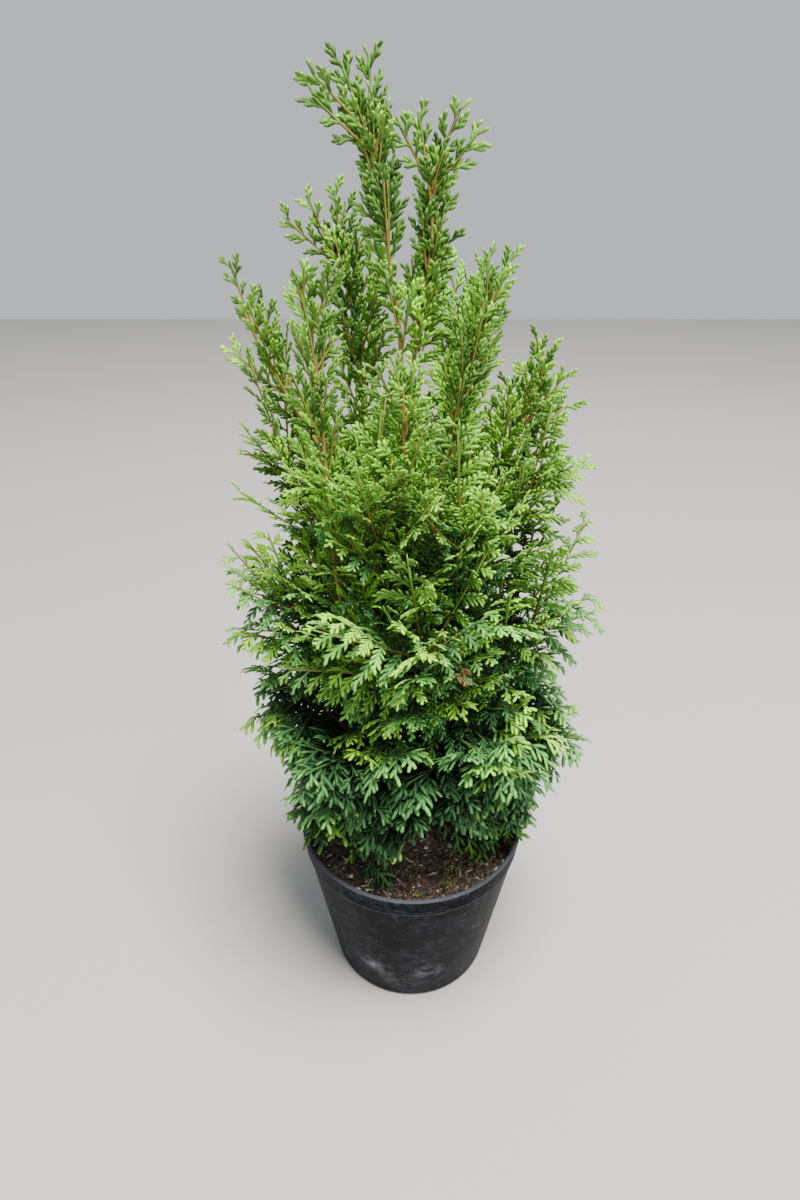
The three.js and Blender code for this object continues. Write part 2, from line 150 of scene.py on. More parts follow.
class Finish:
    """A procedural material: one Principled shader, and patterns that read the piece's
    Object coordinates."""

    def __init__(self, name, roughness, specular=0.5):
        self.material = bpy.data.materials.new(name)
        self.material.use_nodes = True
        self.tree = self.material.node_tree
        self.shader = self.tree.nodes["Principled BSDF"]
        self.shader.inputs["Roughness"].default_value = roughness
        self.shader.inputs["Specular IOR Level"].default_value = specular
        self.place = None

    def feed(self, socket, value):
        """The socket takes another node's output, a colour, a vector or a number."""
        if isinstance(value, bpy.types.NodeSocket):
            self.tree.links.new(value, socket)
        elif socket.type == "RGBA":
            socket.default_value = (*value, 1)
        else:
            socket.default_value = value

    def node(self, kind, inputs, **settings):
        """A node of that kind, with its settings and its inputs."""
        node = self.tree.nodes.new(kind)
        for name, value in settings.items():
            setattr(node, name, value)
        for name, value in inputs.items():
            self.feed(node.inputs[name], value)
        return node

    def at(self, stretch=(1, 1, 1), move=(0, 0, 0)):
        """Where the pattern is read: the Object coordinates, moved and stretched."""
        if self.place is None:
            self.place = self.node("ShaderNodeTexCoord", {}).outputs["Object"]
        inputs = {"Vector": self.place, "Location": move, "Scale": stretch}
        return self.node("ShaderNodeMapping", inputs).outputs[0]

    def height(self):
        """The height above the ground in metres."""
        return self.node("ShaderNodeSeparateXYZ", {"Vector": self.at()}).outputs["Z"]

    def noise(self, scale, detail=4, rough=0.55, **place):
        """Cloudy noise from 0 to 1, with that many clouds to the metre."""
        inputs = {"Vector": self.at(**place), "Scale": scale, "Detail": detail, "Roughness": rough}
        return self.node("ShaderNodeTexNoise", inputs).outputs["Fac"]

    def band(self, value, low, high, to_low=0.0, to_high=1.0):
        """The value's stretch from low to high, spread over to_low to to_high and held beyond it."""
        inputs = {"Value": value, "From Min": low, "From Max": high, "To Min": to_low, "To Max": to_high}
        return self.node("ShaderNodeMapRange", inputs, clamp=True).outputs[0]

    def reckon(self, operation, a, b):
        """A sum or product of two values."""
        node = self.node("ShaderNodeMath", {}, operation=operation)
        for socket, value in zip(node.inputs, (a, b)):
            self.feed(socket, value)
        return node.outputs[0]

    def blend(self, share, below, above):
        """The colour below, turned into the colour above by the share. The node's colours
        are inputs 6 and 7."""
        node = self.node("ShaderNodeMix", {}, data_type="RGBA")
        for socket, value in zip((node.inputs["Factor"], *node.inputs[6:8]), (share, below, above)):
            self.feed(socket, value)
        return node.outputs[2]

    def faint(self, share, mask, below, above):
        """The colour below, turned into the colour above where the mask is 1, by no more than the share."""
        return self.blend(self.reckon("MULTIPLY", mask, share), below, above)

    def colour(self, source):
        self.feed(self.shader.inputs["Base Color"], source)

    def roughen(self, source):
        self.feed(self.shader.inputs["Roughness"], source)

    def relief(self, height, depth):
        """A bump of that depth in millimetres. Several are chained, the finest last."""
        inputs = {"Height": height, "Distance": depth * MM}
        below = self.shader.inputs["Normal"]
        if below.is_linked:
            inputs["Normal"] = below.links[0].from_socket
        self.tree.links.new(self.node("ShaderNodeBump", inputs).outputs[0], below)


band_foot = rim_height - band_height
band_radius = rim_radius - lip_reach


def pot_radius(height):
    """The outer wall's radius at a height below the band: it grows evenly from the foot to the band."""
    return foot_radius + (band_radius - band_step - foot_radius) * height / band_foot


pot_corners = [
    (0, 0.6),
    (foot_radius * 0.72, 0.6),
    (foot_radius * 0.74, 0),
    (foot_radius, 0),
    (pot_radius(band_foot - band_slope), band_foot - band_slope),
    (band_radius, band_foot + band_slope),
    (band_radius, rim_height - lip_height - lip_reach),
    (rim_radius, rim_height - lip_height),
    (rim_radius, rim_height),
    (band_radius - wall, rim_height),
    (band_radius - wall, band_foot + band_step - wall),
    (pot_radius(band_foot) - wall, band_foot - wall),
    (pot_radius(floor_thickness) - wall, floor_thickness),
    (0, floor_thickness),
]
pot_rounds = [0, 1, 1, foot_round, 0.4, 0.5, 0.8, 0.8, moulding_round, moulding_round, 0.5, 0.5, 3, 0]
pot_points, pot_faces = turned(rounded(pot_corners, pot_rounds), pot_facets)

# The plastic's colours: the skin where it is clean and where it is worn, then what lies on it and two painted
# highlights, along the band's foot and on the lip, each with the most that it covers.
clean_skin, worn_skin = (0.0008, 0.0011, 0.0022), (0.0440, 0.0470, 0.0620)
scratch_colour, scratch_share = (0.13, 0.13, 0.15), 0.42
scuff_colour, scuff_share = (0.20, 0.20, 0.21), 0.45
# A painted highlight: a light line along the step at the band's foot.
band_highlight_colour, band_highlight_share = (0.13, 0.135, 0.15), 0.16
# A painted highlight: the sky's bluish reflection on the top of the lip.
lip_highlight_colour, lip_highlight_share = (0.14, 0.15, 0.18), 0.42
stain_colour, stain_share = (0.075, 0.055, 0.040), 0.10
dust_colour, dust_share, dust_top = (0.25, 0.25, 0.27), 0.035, 110
# The smudges of dust near the foot: the middle, the reach and the strength of each, and how flat they are.
smudges = [((-30, -68, 42), 16, 0.9), ((14, -76, 40), 14, 0.7), ((-10, -74, 22), 22, 0.4)]
smudge_flatness = 0.75


def black_plastic():
    """Black polypropylene with a satin skin: worn patches, hair scratches, pale dust in three smudges at the
    front near the foot, a painted highlight as a light line along the band's foot, a bluish painted highlight
    on the top of the lip that stands for the sky's reflection, and faint brown stains of soil."""
    finish = Finish("black_plastic", 0.55, specular=0.05)
    height = finish.height()
    low = finish.band(height, dust_top * MM, 0.0, 0.2, 1)
    dusty = finish.reckon("MULTIPLY", finish.band(finish.noise(18, 6, 0.65), 0.42, 0.75), low)
    streaks = finish.band(finish.noise(70, 5, 0.75, stretch=(1, 1, 1.5)), 0.40, 0.66)
    dust = finish.reckon("MULTIPLY", dusty, dust_share)
    for middle, size, strength in smudges:
        stretch = (1 / (size * MM), 1 / (size * MM), 1 / (smudge_flatness * size * MM))
        move = tuple(-s * p * MM for s, p in zip(stretch, middle))
        inputs = {"Vector": finish.at(stretch=stretch, move=move)}
        reach = finish.node("ShaderNodeVectorMath", inputs, operation="LENGTH").outputs["Value"]
        smudge = finish.reckon("MULTIPLY", finish.band(reach, 1.25, 0.2), streaks)
        dust = finish.reckon("ADD", dust, finish.reckon("MULTIPLY", smudge, strength))
    patches = finish.band(finish.noise(26, 5, 0.7), 0.38, 0.70)
    grain = finish.band(finish.noise(150, 5, 0.75), 0.42, 0.66)
    scratches = finish.band(finish.noise(170, 3, 0.6, stretch=(0.35, 0.35, 3.0)), 0.64, 0.73)
    scuffs = finish.band(finish.noise(420, 2, 0.5, stretch=(1, 1, 0.6)), 0.70, 0.78)
    # The step at the band's foot, which gets a painted highlight.
    band_highlight_low = finish.band(height, (band_foot - 2.6) * MM, (band_foot - 0.6) * MM)
    band_highlight_high = finish.band(height, (band_foot + 1.6) * MM, (band_foot + 0.2) * MM)
    # The top of the lip, which gets a painted highlight of the sky's reflection.
    lip = finish.band(height, (rim_height - 1.8) * MM, (rim_height - 0.4) * MM)
    stains = finish.band(finish.noise(11, 5, 0.7, move=(3, 1, 2)), 0.56, 0.80, 0, stain_share)
    skin = finish.blend(finish.reckon("MULTIPLY", patches, grain), clean_skin, worn_skin)
    skin = finish.faint(scratch_share, scratches, skin, scratch_colour)
    skin = finish.faint(scuff_share, scuffs, skin, scuff_colour)
    band_highlight = finish.reckon("MULTIPLY", band_highlight_low, band_highlight_high)
    skin = finish.faint(band_highlight_share, band_highlight, skin, band_highlight_colour)
    skin = finish.faint(lip_highlight_share, lip, skin, lip_highlight_colour)
    skin = finish.blend(stains, skin, stain_colour)
    finish.colour(finish.blend(dust, skin, dust_colour))
    finish.roughen(finish.band(dust, 0, 0.5, 0.5, 0.9))
    finish.relief(finish.noise(90, 4, 0.6, stretch=(1, 1, 0.25)), 0.15)
    finish.relief(scratches, 0.03)
    return finish.material


put("nursery_pot", pot_points, pot_faces, [black_plastic()], ["pot"], "pot_plastic", crease=35)

# Soil
# Peat potting soil that fills the pot to just under its band: a dark crumbly surface with lumps of peat,
# bits of composted bark and grit, and a few specks of moss. It is loose, and higher round the stem.

soil_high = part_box("soil")[1]
mound_height, mound_radius, mound_flat = 2.5, 30, 12
hollow_depth, lump_depth, crumb_depth = 1.1, 0.9, 0.55
edge_drop, edge_width = 2.2, 9
soil_depth = 14
soil_clearance = 0.3
soil_top = soil_high.z / MM - mound_height
soil_edge = pot_radius(soil_top) - wall - soil_clearance


def waves(points, length, seed, count=14):
    """A smooth irregular height from -1 to 1 at each point: the mean of plane waves of about one length that
    run in seeded random directions, made stronger so that its crests reach 1."""
    random = np.random.default_rng(seed)
    towards = random.normal(size=(count, points.shape[-1]))
    towards /= np.linalg.norm(towards, axis=1, keepdims=True)
    towards *= random.uniform(0.7, 1.5, (count, 1)) * 2 * np.pi / length
    crest = np.sin(points @ towards.T + random.uniform(0, 2 * np.pi, count))
    return np.clip(crest.mean(axis=-1) * math.sqrt(count) / 1.6, -1, 1)


def soil_height(x, y):
    """The soil's surface: a low mound that falls evenly from round the stem, with hollows of 40 mm, lumps of
    9 mm and crumbs of 3 mm on it, and a drop at the wall."""
    out = np.hypot(x, y)
    mound = mound_height * np.clip((mound_radius - out) / (mound_radius - mound_flat), 0, 1)
    place = np.stack([x, y], axis=-1)
    uneven = hollow_depth * waves(place, 40, 1) + lump_depth * waves(place, 9, 2)
    uneven += crumb_depth * np.abs(waves(place, 3.2, 3))
    return soil_top + mound + uneven - edge_drop * np.clip((out - soil_edge + edge_width) / edge_width, 0, 1)


soil_rows, soil_facets = 80, 260
soil_foot = soil_top - soil_depth
foot_reach = pot_radius(soil_foot) - wall - soil_clearance
soil_radii = soil_edge * np.linspace(0, 1, soil_rows + 1)[1:] ** 0.8
soil_reach = np.concatenate([[foot_reach], soil_radii[::-1]])[:, None]
soil_turns = np.linspace(0, 2 * np.pi, soil_facets, endpoint=False)
soil_x, soil_y = soil_reach * np.cos(soil_turns), soil_reach * np.sin(soil_turns)
soil_z = soil_height(soil_x, soil_y)
soil_z[0] = soil_foot
soil_middle = float(soil_height(np.zeros(1), np.zeros(1))[0])
soil_rings = np.stack([soil_x, soil_y, soil_z], axis=-1).reshape(-1, 3)
soil_points = np.concatenate([soil_rings, [[0, 0, soil_foot], [0, 0, soil_middle]]])


def damp_peat():
    """Damp peat: near black in the hollows and brown on the crumbs, rough, with a fine grain."""
    finish = Finish("damp_peat", 0.92, specular=0.25)
    crumbs = finish.noise(420, 6, 0.7)
    patches = finish.band(finish.noise(45, 3), 0.35, 0.7)
    dark = finish.blend(patches, (0.030, 0.022, 0.016), (0.095, 0.068, 0.048))
    finish.colour(finish.blend(finish.band(crumbs, 0.47, 0.70), dark, (0.270, 0.205, 0.155)))
    finish.relief(crumbs, 1.2)
    return finish.material


put("soil_surface", soil_points, closed_rings(soil_rows + 1, soil_facets), [damp_peat()], ["soil"], "peat")

# The corners and the faces of an icosahedron.
GOLD = (1 + math.sqrt(5)) / 2
lump_points = np.array([
    [-1, GOLD, 0], [1, GOLD, 0], [-1, -GOLD, 0], [1, -GOLD, 0],
    [0, -1, GOLD], [0, 1, GOLD], [0, -1, -GOLD], [0, 1, -GOLD],
    [GOLD, 0, -1], [GOLD, 0, 1], [-GOLD, 0, -1], [-GOLD, 0, 1],
]) / math.hypot(1, GOLD)
lump_faces = np.array([
    [0, 11, 5], [0, 5, 1], [0, 1, 7], [0, 7, 10], [0, 10, 11], [1, 5, 9], [5, 11, 4], [11, 10, 2], [10, 7, 6],
    [7, 1, 8], [3, 9, 4], [3, 4, 2], [3, 2, 6], [3, 6, 8], [3, 8, 9], [4, 9, 5], [2, 4, 11], [6, 2, 10],
    [8, 6, 7], [9, 8, 1],
])


def turns_of(random, count):
    """Seeded random turns in space, one matrix for each, from unit quaternions."""
    q = random.normal(size=(count, 4))
    w, x, y, z = (q / np.linalg.norm(q, axis=1, keepdims=True)).T
    return np.stack([
        1 - 2 * (y * y + z * z), 2 * (x * y - w * z), 2 * (x * z + w * y),
        2 * (x * y + w * z), 1 - 2 * (x * x + z * z), 2 * (y * z - w * x),
        2 * (x * z - w * y), 2 * (y * z + w * x), 1 - 2 * (x * x + y * y),
    ], axis=-1).reshape(count, 3, 3)


def lumps(random, places, sizes, flatten):
    """Irregular lumps: each is an icosahedron with its corners moved in or out by up to 30 percent,
    stretched by its three half sizes, flattened by a share, turned at random and set half into the soil."""
    count = len(places)
    uneven = lump_points * random.uniform(0.7, 1.3, (count, len(lump_points), 1))
    shaped = np.einsum("nij,nkj->nki", turns_of(random, count), uneven * sizes[:, None, :])
    shaped[:, :, 2] *= flatten
    points = (shaped + places[:, None, :]).reshape(-1, 3)
    faces = (lump_faces + len(lump_points) * np.arange(count)[:, None, None]).reshape(-1, 3)
    return points, faces


def plain(name, colour, roughness=0.9, specular=0.5):
    """A finish of one colour, for what is too small or too even to show a pattern."""
    finish = Finish(name, roughness, specular)
    finish.colour(colour)
    return finish.material


def scattered(random, count, reach):
    """Places on the soil's surface, evenly spread: the radius is the reach times the root
    of a random share."""
    out, turn = reach * np.sqrt(random.uniform(0, 1, count)), random.uniform(0, 2 * np.pi, count)
    x, y = out * np.cos(turn), out * np.sin(turn)
    return np.stack([x, y, soil_height(x, y)], axis=-1)


soil_random = np.random.default_rng(11)


def strew(name, places, sizes, flatten, kinds, crease=None):
    """Lumps on the soil as one piece. A kind is its finish, its colour and its share of the lumps."""
    points, faces = lumps(soil_random, places, sizes, flatten)
    names, colours, shares = zip(*kinds)
    picks = np.repeat(soil_random.choice(len(kinds), len(places), p=shares), len(lump_faces))
    put(name, points, [faces], list(map(plain, names, colours)), ["soil"], "peat", picks, crease)


crumb_count = 3600
crumb_places = scattered(soil_random, crumb_count, soil_edge - 1.5)
crumb_shapes = soil_random.uniform(0.35, 1.0, (crumb_count, 3))
crumb_sizes = soil_random.gamma(2.2, 0.55, (crumb_count, 1)).clip(0.5, 2.8)
strew("soil_crumbs", crumb_places, crumb_shapes * crumb_sizes, 0.75, [
    ("peat_crumb_dark", (0.012, 0.008, 0.006), 0.42),
    ("peat_crumb", (0.050, 0.032, 0.021), 0.27),
    ("peat_crumb_dry", (0.140, 0.092, 0.058), 0.16),
    ("bark_crumb_red", (0.200, 0.085, 0.050), 0.07),
    ("grit", (0.640, 0.560, 0.430), 0.08),
], crease=40)

# Chips of bark: slivers that lie nearly flat.
chip_count, chip_lift = 380, 0.4
chip_places = scattered(soil_random, chip_count, soil_edge - 4)
chip_places[:, 2] += chip_lift
chip_length = soil_random.uniform(1.6, 5.0, (chip_count, 1))
chip_sizes = chip_length * np.array([1, 0.24, 0.12]) * soil_random.uniform(0.7, 1.3, (chip_count, 3))
strew("bark_chips", chip_places, chip_sizes, 0.35, [
    ("chip_brown", (0.150, 0.085, 0.050), 0.45),
    ("chip_pale", (0.580, 0.450, 0.310), 0.35),
    ("chip_grey", (0.250, 0.210, 0.170), 0.2),
], crease=40)

# Patches of moss: where the middle is, how far the specks reach and how many there are.
moss_spots = [
    (36, -45, 7, 46), (30, -58, 8, 40), (-2, -52, 3, 8), (4, -72, 4, 16), (52, -34, 5, 12), (20, 60, 9, 30),
]
moss_lift, moss_packing = 0.5, 1.8
moss_places = np.concatenate([
    [x, y] + reach * soil_random.normal(size=(2, count)).T / moss_packing for x, y, reach, count in moss_spots
])
moss_places = moss_places[np.hypot(*moss_places.T) < soil_edge - 3]
moss_sizes = soil_random.uniform(0.25, 0.8, (len(moss_places), 3))
moss_places = np.column_stack([moss_places, soil_height(*moss_places.T) + moss_lift])
strew("moss_specks", moss_places, moss_sizes, 0.9, [
    ("moss", (0.170, 0.320, 0.035), 0.6),
    ("moss_pale", (0.420, 0.480, 0.110), 0.4),
])

# Main stem and boughs
# Live wood: one slim main stem that forks into two leaders, and boughs that leave it in
# rings and bend upwards. Old wood has brown fibrous bark in narrow strips, and the shoots
# of the last two years a smooth orange skin.

trunk_foot_place, trunk_fork = np.array([3.0, 5.0]), np.array([-6.0, 0.0])
trunk_foot, fork_height = (corner.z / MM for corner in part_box("trunk"))
trunk_sway = 4
trunk_foot_radius, trunk_fork_radius = 5.8, 2.7
flare, flare_height = 3.4, 9
UP = np.array([0.0, 0.0, 1.0])
GOLDEN_SHARE = (math.sqrt(5) - 1) / 2


def spread(i):
    """The seeded rule's number for step i: evenly spread between -1 and 1, and the same on every run."""
    turns = (np.asarray(i) + 0.5) * GOLDEN_SHARE
    return 2 * (turns - np.floor(turns)) - 1


def unit(vectors):
    return vectors / np.linalg.norm(vectors, axis=-1, keepdims=True)


def trunk_axis(height):
    """The main stem's axis leans evenly from foot to fork, with half a sine wave of sway to the front."""
    share = (np.asarray(height, float) - trunk_foot) / (fork_height - trunk_foot)
    place = trunk_foot_place + np.multiply.outer(share, trunk_fork - trunk_foot_place)
    y = place[..., 1] - trunk_sway * np.sin(np.pi * share)
    return np.stack([place[..., 0], y, np.broadcast_to(height, share.shape)], axis=-1)


def trunk_radius(height):
    """An even taper from foot to fork, plus a root flare that shrinks by a factor e with
    each flare height."""
    share = (np.asarray(height, float) - trunk_foot) / (fork_height - trunk_foot)
    taper = trunk_foot_radius + (trunk_fork_radius - trunk_foot_radius) * share
    return taper + flare * np.exp((trunk_foot - height) / flare_height)


class Run:
    """A smooth curve through four points, read by its share of length. Between two points
    it is the cubic whose slopes come from the neighbours, with knots apart by the root of
    the distance (centripetal Catmull-Rom)."""

    def __init__(self, points):
        points = np.array(points, float)
        ends = [2 * points[0] - points[1], *points, 2 * points[-1] - points[-2]]
        pieces = []
        for p0, p1, p2, p3 in zip(ends, ends[1:], ends[2:], ends[3:]):
            d0, d1, d2 = (math.sqrt(np.linalg.norm(b - a)) for a, b in ((p0, p1), (p1, p2), (p2, p3)))
            slope1 = d1 * ((p1 - p0) / d0 - (p2 - p0) / (d0 + d1) + (p2 - p1) / d1)
            slope2 = d1 * ((p2 - p1) / d1 - (p3 - p1) / (d1 + d2) + (p3 - p2) / d2)
            t = np.linspace(0, 1, 41)[:, None]
            cubic = p1 + slope1 * t + (3 * (p2 - p1) - 2 * slope1 - slope2) * t**2
            cubic += (2 * (p1 - p2) + slope1 + slope2) * t**3
            pieces.append(cubic if len(pieces) == 0 else cubic[1:])
        self.points = np.concatenate(pieces)
        steps = np.linalg.norm(np.diff(self.points, axis=0), axis=1)
        self.reached = np.concatenate([[0], np.cumsum(steps)])
        self.reached /= self.reached[-1]

    def at(self, share):
        return np.stack([np.interp(share, self.reached, self.points[:, k]) for k in range(3)], axis=-1)

    def end_direction(self):
        """The way that the last hundredth of the curve runs."""
        return unit(self.at(1.0) - self.at(0.99))


# The rings of boughs round the main stem, from the soil up. Turn is the angle of the first bough, and root
# the height where they leave the stem. A mass's middle lies out by out times its reach and up by high times
# its height. Half is its half sizes, rise how far its bough's tip is over the middle in half heights, and
# foot the bough's radius at the stem. Twigs leave at the sites, from the tip down to the share low, at
# angles in pitch above the level, and rolled by up to roll. They and their sprays are up to longest and side
# long, and sink by the shares sink and hang of that. Limits is how far out they may end, and shading how
# much lighter the greens get on the way out: painted shade deep inside the crown and painted light at its
# edge.
rings = [
    dict(name="skirt", on_stem=True, turn=54, root=152, out=58, high=194, half=(54, 54, 42),
         reach=(1, 1, 1.04, 0.98, 1.06), height=(1, 1, 1, 1.14, 1), rise=-0.1, foot=2.4,
         sites=19, low=0.1, longest=78, side=30, pitch=(-38, 42), roll=18, sink=0.25, hang=0.55,
         limits=(0.7, 1.02), shading=0.62, form="fan"),
    dict(name="lower", on_stem=False, turn=0, root=192, out=76, high=264, half=(60, 56, 54),
         reach=(1.12, 1, 1, 1.02, 1, 1.02), height=(0.94, 1, 1, 1.02, 1, 1), rise=0.2, foot=3.2,
         sites=32, low=0.1, longest=96, side=32, pitch=(-28, 64), roll=22, sink=0.18, hang=0.50,
         limits=(0.55, 1.06), shading=0.62, form="fan"),
    dict(name="middle", on_stem=False, turn=54, root=252, out=74, high=346, half=(64, 62, 60),
         reach=(1, 1, 1.12, 0.98, 1.04), height=(1, 1.02, 1.04, 1.03, 0.99), rise=0.3, foot=3,
         sites=35, low=0.1, longest=108, side=30, pitch=(5, 80), roll=30, sink=0.0, hang=0.40,
         limits=(0.55, 1.08), shading=0.42, form="plume"),
    dict(name="upper", on_stem=False, turn=0, root=322, out=60, high=436, half=(62, 54, 62),
         reach=(1.14, 0.95, 0.95, 1.3, 0.95, 1), height=(0.98, 1.02, 1, 1.02, 1, 0.97), rise=0.35, foot=2.7,
         sites=28, low=0.12, longest=100, side=24, pitch=(30, 84), roll=40, sink=-0.08, hang=0.24,
         limits=(0.55, 1.08), shading=0.42, form="plume"),
]
# The tips of the sprigs that hang lower than the rest, over the soil and the rim.
sprigs = {
    "skirt_3": ((-52, -44, 146), (-31, -60, 136)),
    "skirt_5": ((62, -36, 142), (88, -30, 156)),
}
bend_share, bend_sag, tip_reach, turn_jitter, height_jitter = 0.5, 0.1, 0.3, 0.1, 5

# The shoots that stand clear at the top, and the two leaders above the fork: where each leaves the main stem
# and where it bends, the middle and the half sizes of its mass, and its tip. Slim is how narrow the space
# for its sprays is, in half sizes, and tips are where its single long twigs end.
shoots = [
    dict(name="left_shoot", root=218, knee=(-47, -50, 375), centre=(-60, -36, 540), half=(32, 36, 80),
         tip=(-70, -28, 588), foot=2.6, sites=34, longest=66, limits=(0.55, 1.0), slim=0.85, low=0.25,
         tips=()),
    dict(name="far_left_shoot", root=372, knee=(-50, 6, 450), centre=(-96, -4, 542), half=(38, 38, 66),
         tip=(-106, -8, 570), foot=2, sites=20, longest=60, limits=(0.5, 1.0), slim=0.62, low=0.2,
         tips=((-112, -4, 596), (-100, -20, 575), (-118, -4, 545))),
    dict(name="back_left_shoot", root=330, knee=(-28, 32, 425), centre=(-42, 48, 555), half=(44, 44, 78),
         tip=(-52, 54, 600), foot=2.2, sites=38, longest=60, limits=(0.5, 1.05), slim=0.95, low=0.25,
         tips=((-84, 40, 617), (-71, 54, 630), (-52, 56, 633))),
    dict(name="back_right_shoot", root=345, knee=(22, 32, 425), centre=(34, 44, 536), half=(44, 44, 68),
         tip=(38, 50, 570), foot=2.2, sites=34, longest=60, limits=(0.5, 1.0), slim=0.95, low=0.25, tips=()),
    dict(name="right_shoot", root=405, knee=(18, -12, 470), centre=(38, -12, 546), half=(33, 38, 64),
         tip=(46, -14, 578), foot=2, sites=28, longest=62, limits=(0.5, 1.0), slim=0.86, low=0.12,
         tips=((57, -12, 602), (42, -16, 592))),
    dict(name="far_right_shoot", root=350, knee=(42, 2, 425), centre=(72, -6, 502), half=(40, 40, 56),
         tip=(82, -9, 528), foot=2, sites=22, longest=60, limits=(0.5, 1.0), slim=0.8, low=0.2,
         tips=((83, -6, 545), (96, -6, 530), (100, -6, 511))),
    dict(name="front_shoot", root=300, knee=(-4, -34, 390), centre=(-8, -52, 500), half=(42, 38, 62),
         tip=(-8, -54, 530), foot=2.2, sites=30, longest=60, limits=(0.5, 1.0), slim=0.9, low=0.25, tips=()),
]
leaders = [
    dict(name="left_leader", root=None, knee=(-11, -1, 560), centre=(-23, -2, 632), half=(37, 32, 70),
         tip=(-28, -2, 672), foot=2.1, sites=26, longest=50, limits=(0.7, 1.04), slim=0.42, low=0.1,
         tips=((-58, -4, 687), (-58, -8, 676), (-42, 0, 692), (-27, 4, 697), (-35, -2, 668),
               (-19, -8, 590), (-26, 6, 604), (-4, -9, 578))),
    dict(name="right_leader", root=None, knee=(0, 2, 548), centre=(9, 2, 606), half=(30, 32, 68),
         tip=(5, 2, 650), foot=2.1, sites=28, longest=48, limits=(0.7, 1.04), slim=0.5, low=0.1,
         tips=((-13, 0, 668), (0, 4, 671), (24, 2, 672), (34, 0, 660), (14, -8, 588), (20, 4, 606),
               (4, -10, 566))),
]
fork_spread, fork_depth = 1.8, 3
stem_tip_radius, stem_taper, shoot_slimness = 0.9, 0.8, 0.75


def ring_growths():
    """The limbs of the rings, each with its mass: the middle of the mass lies out from the axis, the limb
    bends a little below the straight way to it and ends past it."""
    for ring_index, ring in enumerate(rings):
        count = len(ring["reach"])
        for i in range(count):
            step = i + turn_jitter * spread(i + 7 * ring_index)
            azimuth = math.radians(ring["turn"] + 360 / count * step)
            out = np.array([math.cos(azimuth), math.sin(azimuth), 0])
            start = trunk_axis(ring["root"] + height_jitter * spread(3 * i + ring_index))
            centre = out * ring["out"] * ring["reach"][i] + UP * ring["high"] * ring["height"][i]
            knee = start + (centre - start) * bend_share - UP * bend_sag * ring["half"][2]
            tip = centre + out * tip_reach * ring["half"][0] + UP * ring["rise"] * ring["half"][2]
            name = f"{ring['name']}_{i + 1}"
            yield {**ring, "name": name, "run": Run([start, knee, centre, tip]), "centre": centre,
                   "axes": np.array([out, np.cross(UP, out), UP]), "dense": True,
                   "tips": sprigs.get(name, ()), "bare": 0.2, "seed": 41 * ring_index + 7 * i}


def shoot_growths():
    """The limbs of the free shoots and of the leaders, each with its upright mass along the world's axes."""
    for group, form, first, step in ((shoots, "feather", 200, 11), (leaders, "leader", 300, 13)):
        for i, shoot in enumerate(group):
            start = trunk_axis(shoot["root"] or fork_height - fork_depth)
            if shoot["root"] is None:
                start[0] += math.copysign(fork_spread, shoot["tip"][0] - trunk_fork[0])
            yield {**shoot, "run": Run([start, shoot["knee"], shoot["centre"], shoot["tip"]]),
                   "centre": np.array(shoot["centre"], float), "axes": np.eye(3), "dense": False,
                   "on_stem": False, "seed": first + step * i, "form": form, "side": 20, "pitch": (56, 85),
                   "roll": 60, "sink": -0.06, "hang": 0.04, "shading": 0.14, "bare": 0.12}


growths = [*ring_growths(), *shoot_growths()]
centres = np.array([growth["centre"] for growth in growths])
crown_axes = np.array([growth["axes"] / np.reshape(growth["half"], (3, 1)) for growth in growths])
crown_blend = 2.0
all_masses = np.arange(len(growths))
dense_masses = np.flatnonzero([growth["dense"] for growth in growths])

hang_clearance = 2
hang_floor = rim_height + hang_clearance
clearing_x, clearing_width, clearing_slope = 22, 46, 0.85


def above_floor(points):
    """Whether points are above the lowest place where foliage hangs: just over the rim, and in the middle of
    the front, where the soil shows, higher the further out they are. That rise is a bell curve across."""
    x, y, z = np.moveaxis(points, -1, 0)
    bell = np.exp(-((x - clearing_x) / clearing_width) ** 2)
    return z > hang_floor + clearing_slope * bell * np.maximum(-y, 0)


def crown_share(points, members):
    """How far out points lie in the crown that some of the masses make together, 1 at its edge. Each mass
    adds exp(-blend * s), with s the square of the distance from its middle in half sizes, and the share is
    the root of -log(sum) / blend. So the sprays of neighbours mingle, and the crown closes between them."""
    local = np.einsum("...mk,mjk->...mj", points[..., None, :] - centres[members], crown_axes[members])
    total = np.exp(-crown_blend * (local**2).sum(axis=-1)).sum(axis=-1)
    return np.sqrt(np.maximum(-np.log(np.maximum(total, 1e-30)) / crown_blend, 0))


# The bark's relief is read on a cylinder of this radius, with lengths along the limb divided by the stretch.
# The fibres are half as wide as the strips, count for less and are stretched less.
relief_radius, relief_stretch = 6, 8
strip_width, fibre_width, fibre_share, fibre_squeeze = 4.2, 2.1, 0.6, 2.5


def limb(points, radii, sides, relief=None, seed=0):
    """A closed tapering tube: rings square to the path through the points. Each ring's radius is the limb's
    own plus the bark's relief, which is a share of it."""
    along = unit(np.gradient(points, axis=0))
    across = unit(np.cross(along, [0.31, 0.94, 0.12]))
    upward = np.cross(along, across)
    turn = np.linspace(0, 2 * np.pi, sides, endpoint=False)
    spokes = across[:, None] * np.cos(turn)[:, None] + upward[:, None] * np.sin(turn)[:, None]
    reach = np.broadcast_to(np.asarray(radii, float)[:, None], (len(points), sides)).copy()
    if relief is not None:
        run = np.concatenate([[0], np.cumsum(np.linalg.norm(np.diff(points, axis=0), axis=1))])
        x, y = relief_radius * np.cos(turn), relief_radius * np.sin(turn)
        place = np.stack(np.broadcast_arrays(x, y, run[:, None] / relief_stretch), axis=-1)
        fibres = waves(place * [1, 1, fibre_squeeze], fibre_width, seed + 1)
        reach += relief * reach * (waves(place, strip_width, seed) + fibre_share * fibres)
    skin = (points[:, None] + spokes * reach[..., None]).reshape(-1, 3)
    return np.concatenate([skin, points[:1], points[-1:]]), closed_rings(len(points), sides)


